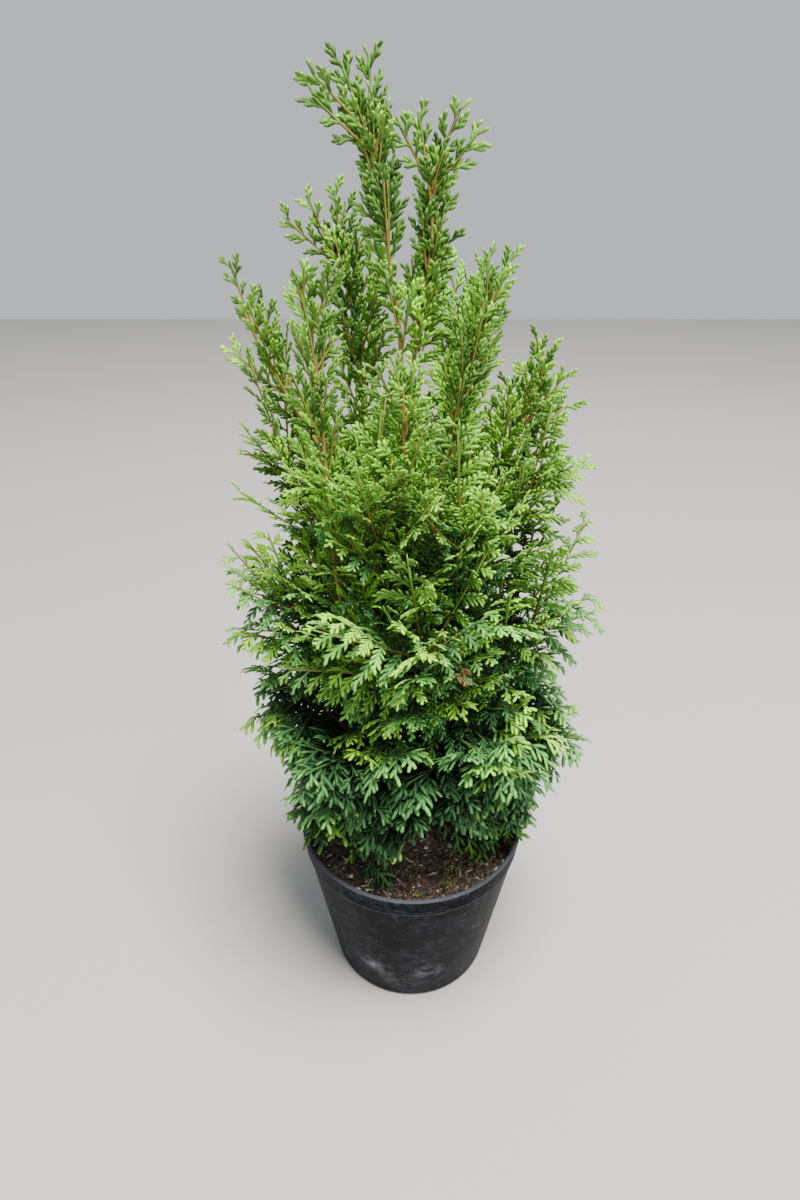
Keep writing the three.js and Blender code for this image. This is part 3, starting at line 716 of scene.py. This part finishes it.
def joined(parts):
    """Several meshes as one: their points one after another, and their faces moved on by
    the points before them. Each has its points and a list of arrays of faces, and arrays at
    the same place in the lists are joined."""
    firsts = np.cumsum([0] + [len(points) for points, _ in parts])
    moved = [[group + first for group in faces] for (_, faces), first in zip(parts, firsts)]
    return np.concatenate([points for points, _ in parts]), [np.concatenate(groups) for groups in zip(*moved)]


def old_bark():
    """Brown fibrous bark that splits lengthwise: dark cracks, red-brown strips and grey weathered fibres."""
    finish = Finish("old_bark", 0.88, specular=0.2)
    strips = finish.noise(520, 5, 0.65, stretch=(1, 1, 0.10))
    fibres = finish.noise(1600, 3, 0.6, stretch=(1, 1, 0.06))
    ground = finish.blend(finish.band(strips, 0.35, 0.65), (0.030, 0.016, 0.010), (0.150, 0.085, 0.050))
    finish.colour(finish.blend(finish.band(fibres, 0.55, 0.75, 0, 0.5), ground, (0.260, 0.200, 0.150)))
    finish.relief(strips, 0.7)
    finish.relief(fibres, 0.25)
    return finish.material


def young_bark():
    """The smooth skin of young shoots: brown low down, orange where last year's leaves have dropped, and
    yellow-green towards the tip, with faint scars round it."""
    finish = Finish("young_bark", 0.55, specular=0.4)
    height = finish.height()
    patches = finish.noise(130, 4, 0.6, stretch=(1, 1, 0.35))
    brown = finish.blend(finish.band(patches, 0.35, 0.7), (0.090, 0.045, 0.020), (0.220, 0.110, 0.035))
    orange = finish.blend(finish.band(patches, 0.4, 0.7), (0.300, 0.150, 0.035), (0.330, 0.220, 0.050))
    green = finish.blend(finish.band(patches, 0.4, 0.65), (0.200, 0.230, 0.030), (0.300, 0.200, 0.045))
    warm = finish.blend(finish.band(height, 0.30, 0.46), brown, orange)
    finish.colour(finish.blend(finish.band(height, 0.56, 0.66), warm, green))
    finish.relief(finish.noise(700, 3, 0.6, stretch=(1, 1, 2.2)), 0.15)
    return finish.material


def stem_radius(growth, share):
    """The radius tapers from the foot's to the tip's as the share of length to a power just under 1."""
    foot = growth["foot"] * (1 if growth["dense"] else shoot_slimness)
    return foot + (stem_tip_radius - foot) * share ** stem_taper


trunk_rows, trunk_facets, trunk_relief = 150, 22, 0.085
trunk_heights = trunk_foot + (fork_height - trunk_foot) * np.linspace(0, 1, trunk_rows) ** 1.25
trunk_points, trunk_faces = limb(
    trunk_axis(trunk_heights), trunk_radius(trunk_heights), trunk_facets, trunk_relief, seed=21)
old_bark_finish = old_bark()
put("main_stem_bark", trunk_points, trunk_faces, [old_bark_finish], ["trunk"], "bark", crease=60)

bough_rows, bough_facets = 60, 12
shares = np.linspace(0, 1, bough_rows)
closing = np.clip((1.02 - shares) / 0.05, 0.35, 1)
for name, dense, slot, finish, relief in (
    ("boughs_bark", True, "bark", old_bark_finish, 0.06),
    ("shoots_bark", False, "young_bark", young_bark(), 0.025),
):
    chosen = [growth for growth in growths if growth["dense"] == dense]
    stem_points, stem_faces = joined([
        limb(growth["run"].at(shares), stem_radius(growth, shares) * closing, bough_facets, relief,
             seed=31 + growth["seed"]) for growth in chosen
    ])
    nodes = [f"bough_{growth['name']}" for growth in chosen if not growth["on_stem"]]
    put(name, stem_points, stem_faces, [finish], nodes, slot, crease=60)

# Twigs and sprays
# Thin live twigs leave each mass's stem by the seeded rule and run to the crown's edge: steep at the top,
# flat and hanging low down. Left and right they carry flat sprays of scale leaves. A spray is a midrib with
# short blunt fingers in turn on both sides. All of it sinks a little by its own weight.

twig_radius, twig_tip_radius = 1.0, 0.5
blade_width, blade_thickness = 2.8, 1.0
shortest_twig, shortest_spray, shortest_blade = 20, 6, 3.5
least_spray, fingered_spray, first_finger = 8, 9, 3.6
free_limit = 2
cut_share, cut_count = 0.93, 20

# How a twig carries its sprays in a hanging fan low down, a plume higher up, a slim feather on the shoots
# and a fuller one on the leaders: the angles of its sprays and of their fingers, a spray's length as a share
# of the twig's, how far a spray faces the sky and leaves the twig's plane, the steps from spray to spray and
# from finger to finger, a finger's length as a share of what is left of the spray, its least and its most,
# the width of blades, where the twig's green end begins, how thick its bare wood is, how much lighter
# fingers get along the spray and towards their own tips, and a finger's stations from root to tip.
# The glow's lighter spray ends and finger tips are partly new growth and partly painted light on the tips
# that stand out of the shade.
forms = {
    "fan": dict(spray_angle=56, finger_angle=46, breadth=0.46, skyward=0.5, aside=0.22, step=6.4, gap=3.3,
                finger=(0.42, 5.8, 12.5), width=1.14, tail=0.04, stem=0.55, glow=(0.30, 0.18),
                stations=[(0, 0.74), (0.5, 1.0), (0.88, 0.82)]),
    "plume": dict(spray_angle=50, finger_angle=42, breadth=0.42, skyward=0.3, aside=0.28, step=5.8, gap=2.45,
                  finger=(0.31, 4.0, 7.8), width=0.85, tail=0.3, stem=0.8, glow=(0.24, 0.12),
                  stations=[(0, 0.78), (0.7, 1.0)]),
    "feather": dict(spray_angle=36, finger_angle=30, breadth=0.44, skyward=0.1, aside=0.25, step=5.6, gap=2.1,
                    finger=(0.24, 3.8, 7.0), width=0.76, tail=0.35, stem=0.8, glow=(0.12, 0.05),
                    stations=[(0, 0.85), (0.65, 1.0)]),
    "leader": dict(spray_angle=38, finger_angle=32, breadth=0.46, skyward=0.1, aside=0.25, step=5.8, gap=2.5,
                   finger=(0.27, 4.5, 8.5), width=0.90, tail=0.35, stem=0.8, glow=(0.12, 0.06),
                   stations=[(0, 0.85), (0.65, 1.0)]),
}


def turned_about(vectors, axes, angles):
    """Vectors turned about unit axes: the part along the axis stays, and the rest swings
    round by the angle."""
    cos, sin = np.cos(angles)[..., None], np.sin(angles)[..., None]
    kept = (vectors * axes).sum(-1, keepdims=True) * axes
    return vectors * cos + np.cross(axes, vectors) * sin + kept * (1 - cos)


def square_to(vectors, along):
    """Unit vectors: what is left of each when its part along the unit direction is taken off."""
    return unit(vectors - (vectors * along).sum(-1, keepdims=True) * along)


def on_arc(blades, share):
    """The place and the frame on blades' midlines at shares of their length. Blades are a list of roots,
    directions, directions of the upper face, lengths, falls and sweeps. The midline is a parabola: straight
    along at its root, sinking by the fall times the share squared and sweeping aside in the same way."""
    root, along, face, length, fall, sweep = blades
    across = np.cross(face, along)
    share = np.asarray(share)[..., None]
    away = sweep[..., None] * across - fall[..., None] * UP
    tangent = unit(along + 2 * share * away)
    side = square_to(across, tangent)
    place = root + length[..., None] * (share * along + share**2 * away)
    return place, tangent, side, np.cross(tangent, side)


def blade_mesh(blades, width, thickness, stations):
    """All blades at once as flattened closed tapers. A station is a share of the length, with
    the blade's width there: its section is a diamond, as wide as that and as thick as the same
    share of the thickness. The foot is closed by two triangles and the tip by four. Also returns
    how far along the blade each face lies."""
    count, rows = len(blades[3]), len(stations)
    shares, widths = np.array(stations).T
    spaced = [part[:, None] for part in blades]
    middle, _, side, top = on_arc(spaced, np.broadcast_to(shares, (count, rows)))
    half_width = (width[:, None] * widths / 2)[..., None]
    half_thickness = (thickness[:, None] * widths / 2)[..., None]
    corners = np.stack([middle + side * half_width, middle + top * half_thickness,
                        middle - side * half_width, middle - top * half_thickness], axis=2)
    tip = on_arc(spaced, np.ones((count, 1)))[0]
    points = np.concatenate([corners.reshape(count, 4 * rows, 3), tip], axis=1)
    here = 4 * np.arange(rows - 1)[:, None] + np.arange(4)
    there = 4 * np.arange(rows - 1)[:, None] + (np.arange(4) + 1) % 4
    skin = np.concatenate([np.stack([here, there, there + 4], -1), np.stack([here, there + 4, here + 4], -1)])
    last = 4 * (rows - 1)
    end = [[last + k, last + (k + 1) % 4, last + 4] for k in range(4)]
    one = np.concatenate([skin.reshape(-1, 3), end, [[0, 2, 1], [0, 3, 2]]])
    rise = np.minimum(one.min(axis=1) // 4, rows - 1) / (rows - 1)
    faces = one + (4 * rows + 1) * np.arange(count)[:, None, None]
    return points.reshape(-1, 3), faces.reshape(-1, 3), rise


def take(blades, keep):
    """The blades that a mask keeps."""
    return [part[keep] for part in blades]


def depth_share(growth, points):
    """How far out points lie in the space where a mass's sprays may grow, 1 at its edge. That is the whole
    crown for a dense mass. For an upright one it is its own slim ellipsoid and the dense crown that its stem
    comes from, so that the shoots at the top stay apart."""
    if growth["dense"]:
        return crown_share(points, all_masses)
    slim = np.array([growth["slim"], growth["slim"], 1])
    local = ((points - growth["centre"]) @ growth["axes"].T) / (growth["half"] * slim)
    return np.minimum(np.sqrt((local**2).sum(axis=-1)), crown_share(points, dense_masses) + 0.1)


def longest_that_fits(growth, blades, limit, shortest):
    """The blades' lengths, each cut to the longest share of its own that keeps its tip in its
    space. Where none fits, the length is 0. Above the free limit the floor doesn't count, so
    that single sprays hang over the soil."""
    root, along, face, length, fall, sweep = blades
    tried = length[:, None] * cut_share ** np.arange(cut_count)
    spaced = [root[:, None], along[:, None], face[:, None], tried, fall[:, None], sweep[:, None]]
    tip = on_arc(spaced, np.ones_like(tried))[0]
    free = limit[:, None] > free_limit
    fits = (depth_share(growth, tip) < limit[:, None]) & (above_floor(tip) | free) & (tried > shortest)
    return np.where(fits.any(axis=1), tried[np.arange(len(length)), fits.argmax(axis=1)], 0)


fan_turn = 88
twig_sink_range, twig_sweep, twig_length_range = (0.5, 1.5), 0.12, (0.7, 1.0)


def twigs_of(growth, random):
    """The twigs of a mass, from its stem's tip down, and the edge that each one's sprays
    keep to. In a mass that leans out they fan to both sides. In an upright one they stand
    in turn left and right of the stem."""
    count, run, seed = growth["sites"], growth["run"], growth["seed"]
    i = np.arange(count)
    share = 1 + (growth["low"] - 1) * i / (count - 1)
    pitch_low, pitch_high = np.radians(growth["pitch"])
    pitch = pitch_low + (pitch_high - pitch_low) * (spread(3 * i + seed) + 1) / 2
    turn = np.radians(fan_turn) * spread(i + seed) + (0 if growth["dense"] else np.pi * i)
    ahead = turned_about(growth["axes"][0], UP, turn)
    along = ahead * np.cos(pitch)[:, None] + UP * np.sin(pitch)[:, None]
    along[0] = run.end_direction()
    face = square_to(UP + 0.5 * ahead if growth["dense"] else np.array([0, -1, 0.3]), along)
    face = turned_about(face, along, np.radians(growth["roll"]) * spread(2 * i + seed))
    fall = growth["sink"] * random.uniform(*twig_sink_range, count)
    sweep = random.uniform(-twig_sweep, twig_sweep, count)
    length = growth["longest"] * random.uniform(*twig_length_range, count)
    limit = random.uniform(*growth["limits"], count)
    twigs = [run.at(share), unit(along), face, length, fall, sweep]
    twigs[3] = longest_that_fits(growth, twigs, limit, shortest_twig)
    keep = twigs[3] > 0
    return take(twigs, keep), limit[keep]


# Where a leading twig leaves its stem: about this share of the longest twig away from its tip and, on a
# shoot, at least as far below the tip as the second share, which counts this many times.
leading_length, leading_drop, drop_weight = 0.85, 0.5, 3


def leading_twigs(growth, random):
    """The twigs that reach the named tips of a mass. Each starts a little above the straight way to its
    tip, so that it ends there after sinking."""
    tips = np.array(growth["tips"], float).reshape(-1, 3)
    stem = growth["run"].at(np.linspace(0.1, 1, 90))
    apart = np.linalg.norm(tips[:, None] - stem, axis=-1)
    drop = stem[:, 2] - tips[:, 2, None] + leading_drop * growth["longest"]
    above = np.maximum(drop, 0) * (not growth["dense"])
    root = stem[(np.abs(apart - leading_length * growth["longest"]) + drop_weight * above).argmin(axis=1)]
    way = tips - root
    length = np.linalg.norm(way, axis=1)
    fall = np.full(len(tips), max(growth["sink"], 0.0))
    along = unit(way / length[:, None] + fall[:, None] * UP)
    face = turned_about(square_to(np.array([0, -1, 0.2]), along), along, random.uniform(-0.5, 0.5, len(tips)))
    return [root, along, face, length, fall, np.zeros(len(tips))], np.full(len(tips), free_limit + 1)


# How uneven side blades are: their places in gaps, the angle's share at the parent's root, how much of it is
# gone at the parent's tip and its jitter in degrees, how far a blade turns about itself, and the shares of
# its length, of its fall and of its sweep. The last one stands at this share of the parent.
place_jitter, last_place = 0.15, 0.95
root_angle, angle_loss, angle_jitter = 1.12, 0.35, 5
face_turn = 0.22
length_range, fall_range, sweep_range = (0.74, 1.2), (0.5, 1.4), (0.05, 0.20)


def side_blades(parents, gap, first, angle, length_of, random, fall, aside, skyward):
    """The side blades of others: one at each gap along the parent, in turn left and right, at the angle to
    it and curving towards its tip. Length_of gives their length from the parent's length and the share along
    it. Also returns each one's parent and the share along it."""
    parent_length = parents[3]
    count, steps = len(parent_length), int(parent_length.max() / gap) + 1
    share = (np.reshape(first, (-1, 1)) + gap * np.arange(steps)) / parent_length[:, None]
    share = share + random.uniform(-place_jitter, place_jitter, share.shape) * gap / parent_length[:, None]
    place, tangent, _, top = on_arc([part[:, None] for part in parents], share)
    start = random.integers(0, 2, count)[:, None]
    sign = np.where((np.arange(steps) + start) % 2, 1.0, -1.0)
    jitter = random.uniform(-angle_jitter, angle_jitter, share.shape)
    along = turned_about(tangent, top, np.radians(angle * (root_angle - angle_loss * share) + jitter) * sign)
    along = unit(along + top * random.uniform(-aside, aside, share.shape)[..., None])
    face = square_to(top + skyward * UP, along)
    face = turned_about(face, along, random.uniform(-face_turn, face_turn, share.shape))
    length = length_of(parent_length[:, None], share) * random.uniform(*length_range, share.shape)
    sinking = fall * random.uniform(*fall_range, share.shape)
    sweep = -sign * random.uniform(*sweep_range, share.shape)
    keep = (share < last_place) & (length > shortest_blade)
    parent = np.broadcast_to(np.arange(count)[:, None], share.shape)
    return take([place, along, face, length, sinking, sweep], keep), parent[keep], share[keep]


# The greens of the sprays from deep shade to new tips. Old leaves low down are bluish, and young ones at
# the top and at the sunny edge are yellowish.
greens = [
    ("leaf_deep", (0.007, 0.023, 0.009), (0.011, 0.029, 0.008)),
    ("leaf_dark", (0.018, 0.058, 0.018), (0.028, 0.070, 0.010)),
    ("leaf_green", (0.040, 0.116, 0.036), (0.057, 0.136, 0.021)),
    ("leaf_mid", (0.075, 0.210, 0.058), (0.108, 0.244, 0.034)),
    ("leaf_fresh", (0.132, 0.356, 0.078), (0.178, 0.390, 0.044)),
    ("leaf_bright", (0.212, 0.540, 0.090), (0.250, 0.550, 0.050)),
    ("leaf_new", (0.320, 0.690, 0.076), (0.330, 0.680, 0.044)),
]
leaf_finishes = [plain(name, colour, 0.5, specular=0.14) for name, colour, _ in greens]
leaf_finishes += [plain(f"{name}_yellow", colour, 0.5, specular=0.14) for name, _, colour in greens]
leaf_finishes.append(plain("leaf_dead", (0.250, 0.170, 0.060), 0.8, specular=0.1))
# A single tuft of sprays that has died back, at the front.
dead_spot, dead_reach = (27, -102, 364), 8

tone_place = 0.8  # the share of a blade's length where its tone is read
# By height: how light the green is, lightest at two thirds of the plant's height and darker below it as
# painted shade under the crown, how much of it is yellowish, and how much young ends show, which is little
# near the rim.
shade_heights = [140, 210, 280, 340, 400, 470, 560, 700]
shade_levels = [0.14, 0.21, 0.34, 0.54, 0.55, 0.58, 0.50, 0.36]
sunny_shares = [0.0, 0.04, 0.12, 0.30, 0.68, 1.10, 1.25, 1.3]
youth_heights, youth_shares = [160, 250], [0.15, 1]
# Young twigs: how many there are, where along one its new growth begins and over how much of it that comes
# in, and how much lighter and how much more often yellow it is.
young_odds, young_from, young_width, young_gain, young_yellow = 0.22, 0.25, 0.5, 0.26, 0.7
# The mean and the spread of a twig's own tone, and the spreads of a spray's, of a blade's and of the yellow.
twig_tone, twig_spread, spray_spread, blade_spread, yellow_spread = -0.03, 0.07, 0.05, 0.03, 0.12
# How far out the tone is just the height's, darker inside that as painted shade and lighter outside it as
# painted light, how far out the share of yellow is, and how that grows outwards.
own_depth, yellow_depth, yellow_edge = 0.85, 0.9, 0.3
# How much lighter a blade's tip is than its root and a spray at its twig's tip than at the root, partly as
# new growth and partly as painted light on the tips that stand out of the shade, and how much darker a twig's
# green end, midribs and fingers are.
tip_gain, place_gain = 0.22, 0.10
end_shade, midrib_shade, finger_shade = 0.07, 0.02, 0.03

midrib_stations = [(0, 0.66), (0.35, 0.85), (0.7, 0.98), (0.93, 0.8)]


def grown(growth, random):
    """The twigs, the sprays and the fingers of a mass, with each spray's twig and each
    finger's spray, and their places along it."""
    twigs, limit = twigs_of(growth, random)
    if growth["tips"]:
        leading, wide = leading_twigs(growth, random)
        twigs = [np.concatenate(parts) for parts in zip(leading, twigs)]
        limit = np.concatenate([wide, limit])
    form, hang = forms[growth["form"]], growth["hang"]

    def spray_length(parent, share):
        """A share of the twig's length, which swells near the twig's root and fades as what is left of the
        twig to the power 0.8, plus the least, up to the most. On a leading twig the most is six tenths."""
        swell = np.clip((share + 0.25) / 0.4, 0, 1)
        most = np.where(limit > free_limit, 0.6, 1)[:, None] * growth["side"]
        left = np.maximum(1 - share, 0) ** 0.8
        return np.minimum(parent * form["breadth"] * left * swell + least_spray, most)

    def finger_length(parent, share):
        """A share of what is left of the spray, plus the least, up to the most. Short sprays have none."""
        slope, least, most = form["finger"]
        return np.where(parent > fingered_spray, np.minimum(parent * slope * (1 - share) + least, most), 0)

    sprays, twig, place = side_blades(twigs, form["step"], twigs[3] * growth["bare"], form["spray_angle"],
                                      spray_length, random, hang, form["aside"], form["skyward"])
    sprays[3] = longest_that_fits(growth, sprays, limit[twig] + 0.1, shortest_spray)
    fits = sprays[3] > 0
    sprays, twig, place = take(sprays, fits), twig[fits], place[fits]
    fingers, spray, finger_place = side_blades(sprays, form["gap"], first_finger, form["finger_angle"],
                                               finger_length, random, 0.5 * hang, 0.1, 0)
    return twigs, (sprays, twig, place), (fingers, spray, finger_place)


def foliage_of(growth, random):
    """The blades of a mass: the mesh of each layer, the number of the green of each face, and the twigs. The
    green follows the height, darkest low down as painted shade under the crown, and the twig's and the
    spray's own tone. It is darker deep in the crown as painted shade, and lighter towards the tips, partly as
    new growth and partly as painted light on the tips that stand out. The green end of a twig is the last
    part of it, on the same arc."""
    twigs, (sprays, twig, place), (fingers, spray, finger_place) = grown(growth, random)
    form = forms[growth["form"]]
    along_spray, along_finger = form["glow"]
    twig_count, spray_count = len(twigs[3]), len(sprays[3])
    young = random.uniform(0, 1, twig_count) < young_odds
    tone = random.normal(twig_tone, twig_spread, twig_count)
    end = on_arc(sprays, np.full(spray_count, tone_place))[0]
    height = end[:, 2]
    youth = young[twig] * np.clip((place - young_from) / young_width, 0, 1)
    youth = youth * np.interp(height, youth_heights, youth_shares)
    depth = np.clip(depth_share(growth, end), 0.2, 1.2)
    # Painted shade and light: the green is darker the deeper a spray ends in the crown, and lighter at its
    # edge.
    base = np.interp(height, shade_heights, shade_levels) + growth["shading"] * (depth - own_depth)
    base += tone[twig] + young_gain * youth + random.normal(0, spray_spread, spray_count)
    luck = random.uniform(0, 1, twig_count)
    further_out = np.maximum(depth, 0.6) - yellow_depth
    sunny = np.interp(height, shade_heights, sunny_shares) + yellow_edge * further_out
    yellow = luck[twig] + random.normal(0, yellow_spread, spray_count) < sunny + young_yellow * youth
    twig_height = on_arc(twigs, np.full(twig_count, tone_place))[0][:, 2]
    twig_level = np.interp(twig_height, shade_heights, shade_levels) + tone - end_shade
    twig_yellow = luck < np.interp(twig_height, shade_heights, sunny_shares)
    finger_level = base[spray] + place_gain * place[spray] - finger_shade
    finger_level += along_spray * finger_place * (0.7 + 0.7 * youth[spray])

    dead = np.linalg.norm(end - dead_spot, axis=1) < dead_reach
    alive = np.zeros(twig_count, bool)
    tail = form["tail"]
    bend = np.linalg.norm(twigs[1] - 2 * tail * twigs[4][:, None] * UP, axis=1)
    start, ahead, _, top = on_arc(twigs, np.full(twig_count, tail))
    rest = 1 - tail
    ends = [start, ahead, top, twigs[3] * rest * bend, twigs[4] * rest / bend, np.zeros(twig_count)]
    layers = [
        (ends, 0.80, midrib_stations, twig_level, tip_gain, twig_yellow, alive),
        (sprays, 0.92, midrib_stations, base - midrib_shade + place_gain * place, tip_gain, yellow, dead),
        (fingers, 1.0, form["stations"], finger_level, along_finger, yellow[spray], dead[spray]),
    ]
    made, picks = [], []
    for blades, wide, stations, level, gain, sunny, spent in layers:
        width = blade_width * form["width"] * wide * random.uniform(0.86, 1.1, len(blades[3]))
        thick = blade_thickness * random.uniform(0.85, 1.15, len(blades[3]))
        points, faces, rise = blade_mesh(blades, width, thick, stations)
        shade = level[:, None] + random.normal(0, blade_spread, (len(level), 1)) + gain * rise
        green = np.clip(shade * len(greens), 0, len(greens) - 1).astype(int) + len(greens) * sunny[:, None]
        made.append((points, [faces]))
        picks.append(np.where(spent[:, None], 2 * len(greens), green).ravel())
    return made, picks, twigs


def twig_bark():
    """The thin bark of twigs: dark brown and green low down and in the shade, yellow-green
    and orange at the top."""
    finish = Finish("twig_bark", 0.6, specular=0.2)
    height = finish.height()
    patches = finish.band(finish.noise(160, 3), 0.4, 0.65)
    low = finish.blend(patches, (0.070, 0.050, 0.018), (0.095, 0.115, 0.022))
    high = finish.blend(patches, (0.250, 0.150, 0.035), (0.210, 0.250, 0.034))
    finish.colour(finish.blend(finish.band(height, 0.30, 0.52), low, high))
    return finish.material


piece_limit = 190000
twig_finish = twig_bark()
twig_rows, twig_facets, twig_end = 7, 6, 0.92


def put_foliage(name, dressed, slot):
    """One piece for the sprays of several masses and one for their twigs."""
    layers, picks, tubes = [], [], []
    for growth, made, mass_picks, twigs in dressed:
        layers += made
        picks += mass_picks
        shares = np.tile(np.linspace(0, twig_end, twig_rows), (len(twigs[3]), 1))
        radii = forms[growth["form"]]["stem"] * np.linspace(twig_radius, twig_tip_radius, twig_rows)
        ways = on_arc([part[:, None] for part in twigs], shares)[0]
        tubes += [limb(way, radii, twig_facets) for way in ways]
    nodes = [f"foliage_{growth['name']}" for growth, *_ in dressed]
    put(f"sprays_{name}", *joined(layers), leaf_finishes, nodes, slot, np.concatenate(picks))
    put(f"twigs_{name}", *joined(tubes), [twig_finish], nodes, "bark")


# Each kind of mass has its own random draws, and its pieces stay under the limit of triangles.
for kind in ("skirt", "lower", "middle", "upper", "shoot", "leader"):
    members = [growth for growth in growths if kind in growth["name"].split("_")]
    random = np.random.default_rng(sum(map(ord, kind)))
    slot = "foliage_low" if members[0]["dense"] else "foliage_high"
    batch, size, number = [], 0, 1
    for growth in members:
        made, picks, twigs = foliage_of(growth, random)
        triangles = sum(map(len, picks))
        if size + triangles > piece_limit:
            put_foliage(f"{kind}_{number}", batch, slot)
            batch, size, number = [], 0, number + 1
        batch.append((growth, made, picks, twigs))
        size += triangles
    put_foliage(f"{kind}_{number}", batch, slot)

# Studio
# A plain pale floor under an even overcast light, and the camera: in front of the plant,
# above it and tilted down.

floor_half = 4000
floor_mesh = bpy.data.meshes.new("floor")
floor_corners = np.array([(-1, -1, 0), (1, -1, 0), (1, 1, 0), (-1, 1, 0)]) * floor_half * MM
floor_mesh.from_pydata(floor_corners.tolist(), [], [(0, 1, 2, 3)])
floor_mesh.materials.append(plain("pale_floor", (0.40, 0.39, 0.38), 0.8))
floor_piece = bpy.data.objects.new("floor", floor_mesh)
bpy.context.scene.collection.objects.link(floor_piece)

sky = bpy.data.worlds.new("overcast")
sky.use_nodes = True
sky_inputs = sky.node_tree.nodes["Background"].inputs
sky_inputs["Color"].default_value = (0.92, 0.96, 1.0, 1)
sky_inputs["Strength"].default_value = 0.66
bpy.context.scene.world = sky


def soft_light(name, place, target, size, power, colour):
    """A square lamp of that size that shines from its place to the target, with its power in watts."""
    lamp = bpy.data.lights.new(name, "AREA")
    lamp.size = size * MM
    lamp.energy = power
    lamp.color = colour
    holder = bpy.data.objects.new(name, lamp)
    bpy.context.scene.collection.objects.link(holder)
    direction = Vector(np.subtract(target, place))
    holder.location = np.multiply(place, MM)
    holder.rotation_euler = direction.to_track_quat("-Z", "Y").to_euler()


soft_light("overhead", (550, -800, 3900), (0, 0, 350), 1500, 470, (1.0, 0.98, 0.93))
soft_light("front_right", (2000, -2200, 1700), (0, 0, 350), 1800, 40, (1.0, 1.0, 1.0))

camera_place = (-10, -494, 630)
camera_tilt = 28.38
lens, sensor = 22.65, 36
camera_data = bpy.data.cameras.new("camera")
camera_data.lens = lens
camera_data.sensor_width = sensor
camera_data.clip_start = 0.01
camera = bpy.data.objects.new("camera", camera_data)
camera.location = np.multiply(camera_place, MM)
camera.rotation_euler = (math.radians(90 - camera_tilt), 0, 0)
bpy.context.scene.collection.objects.link(camera)
bpy.context.scene.camera = camera
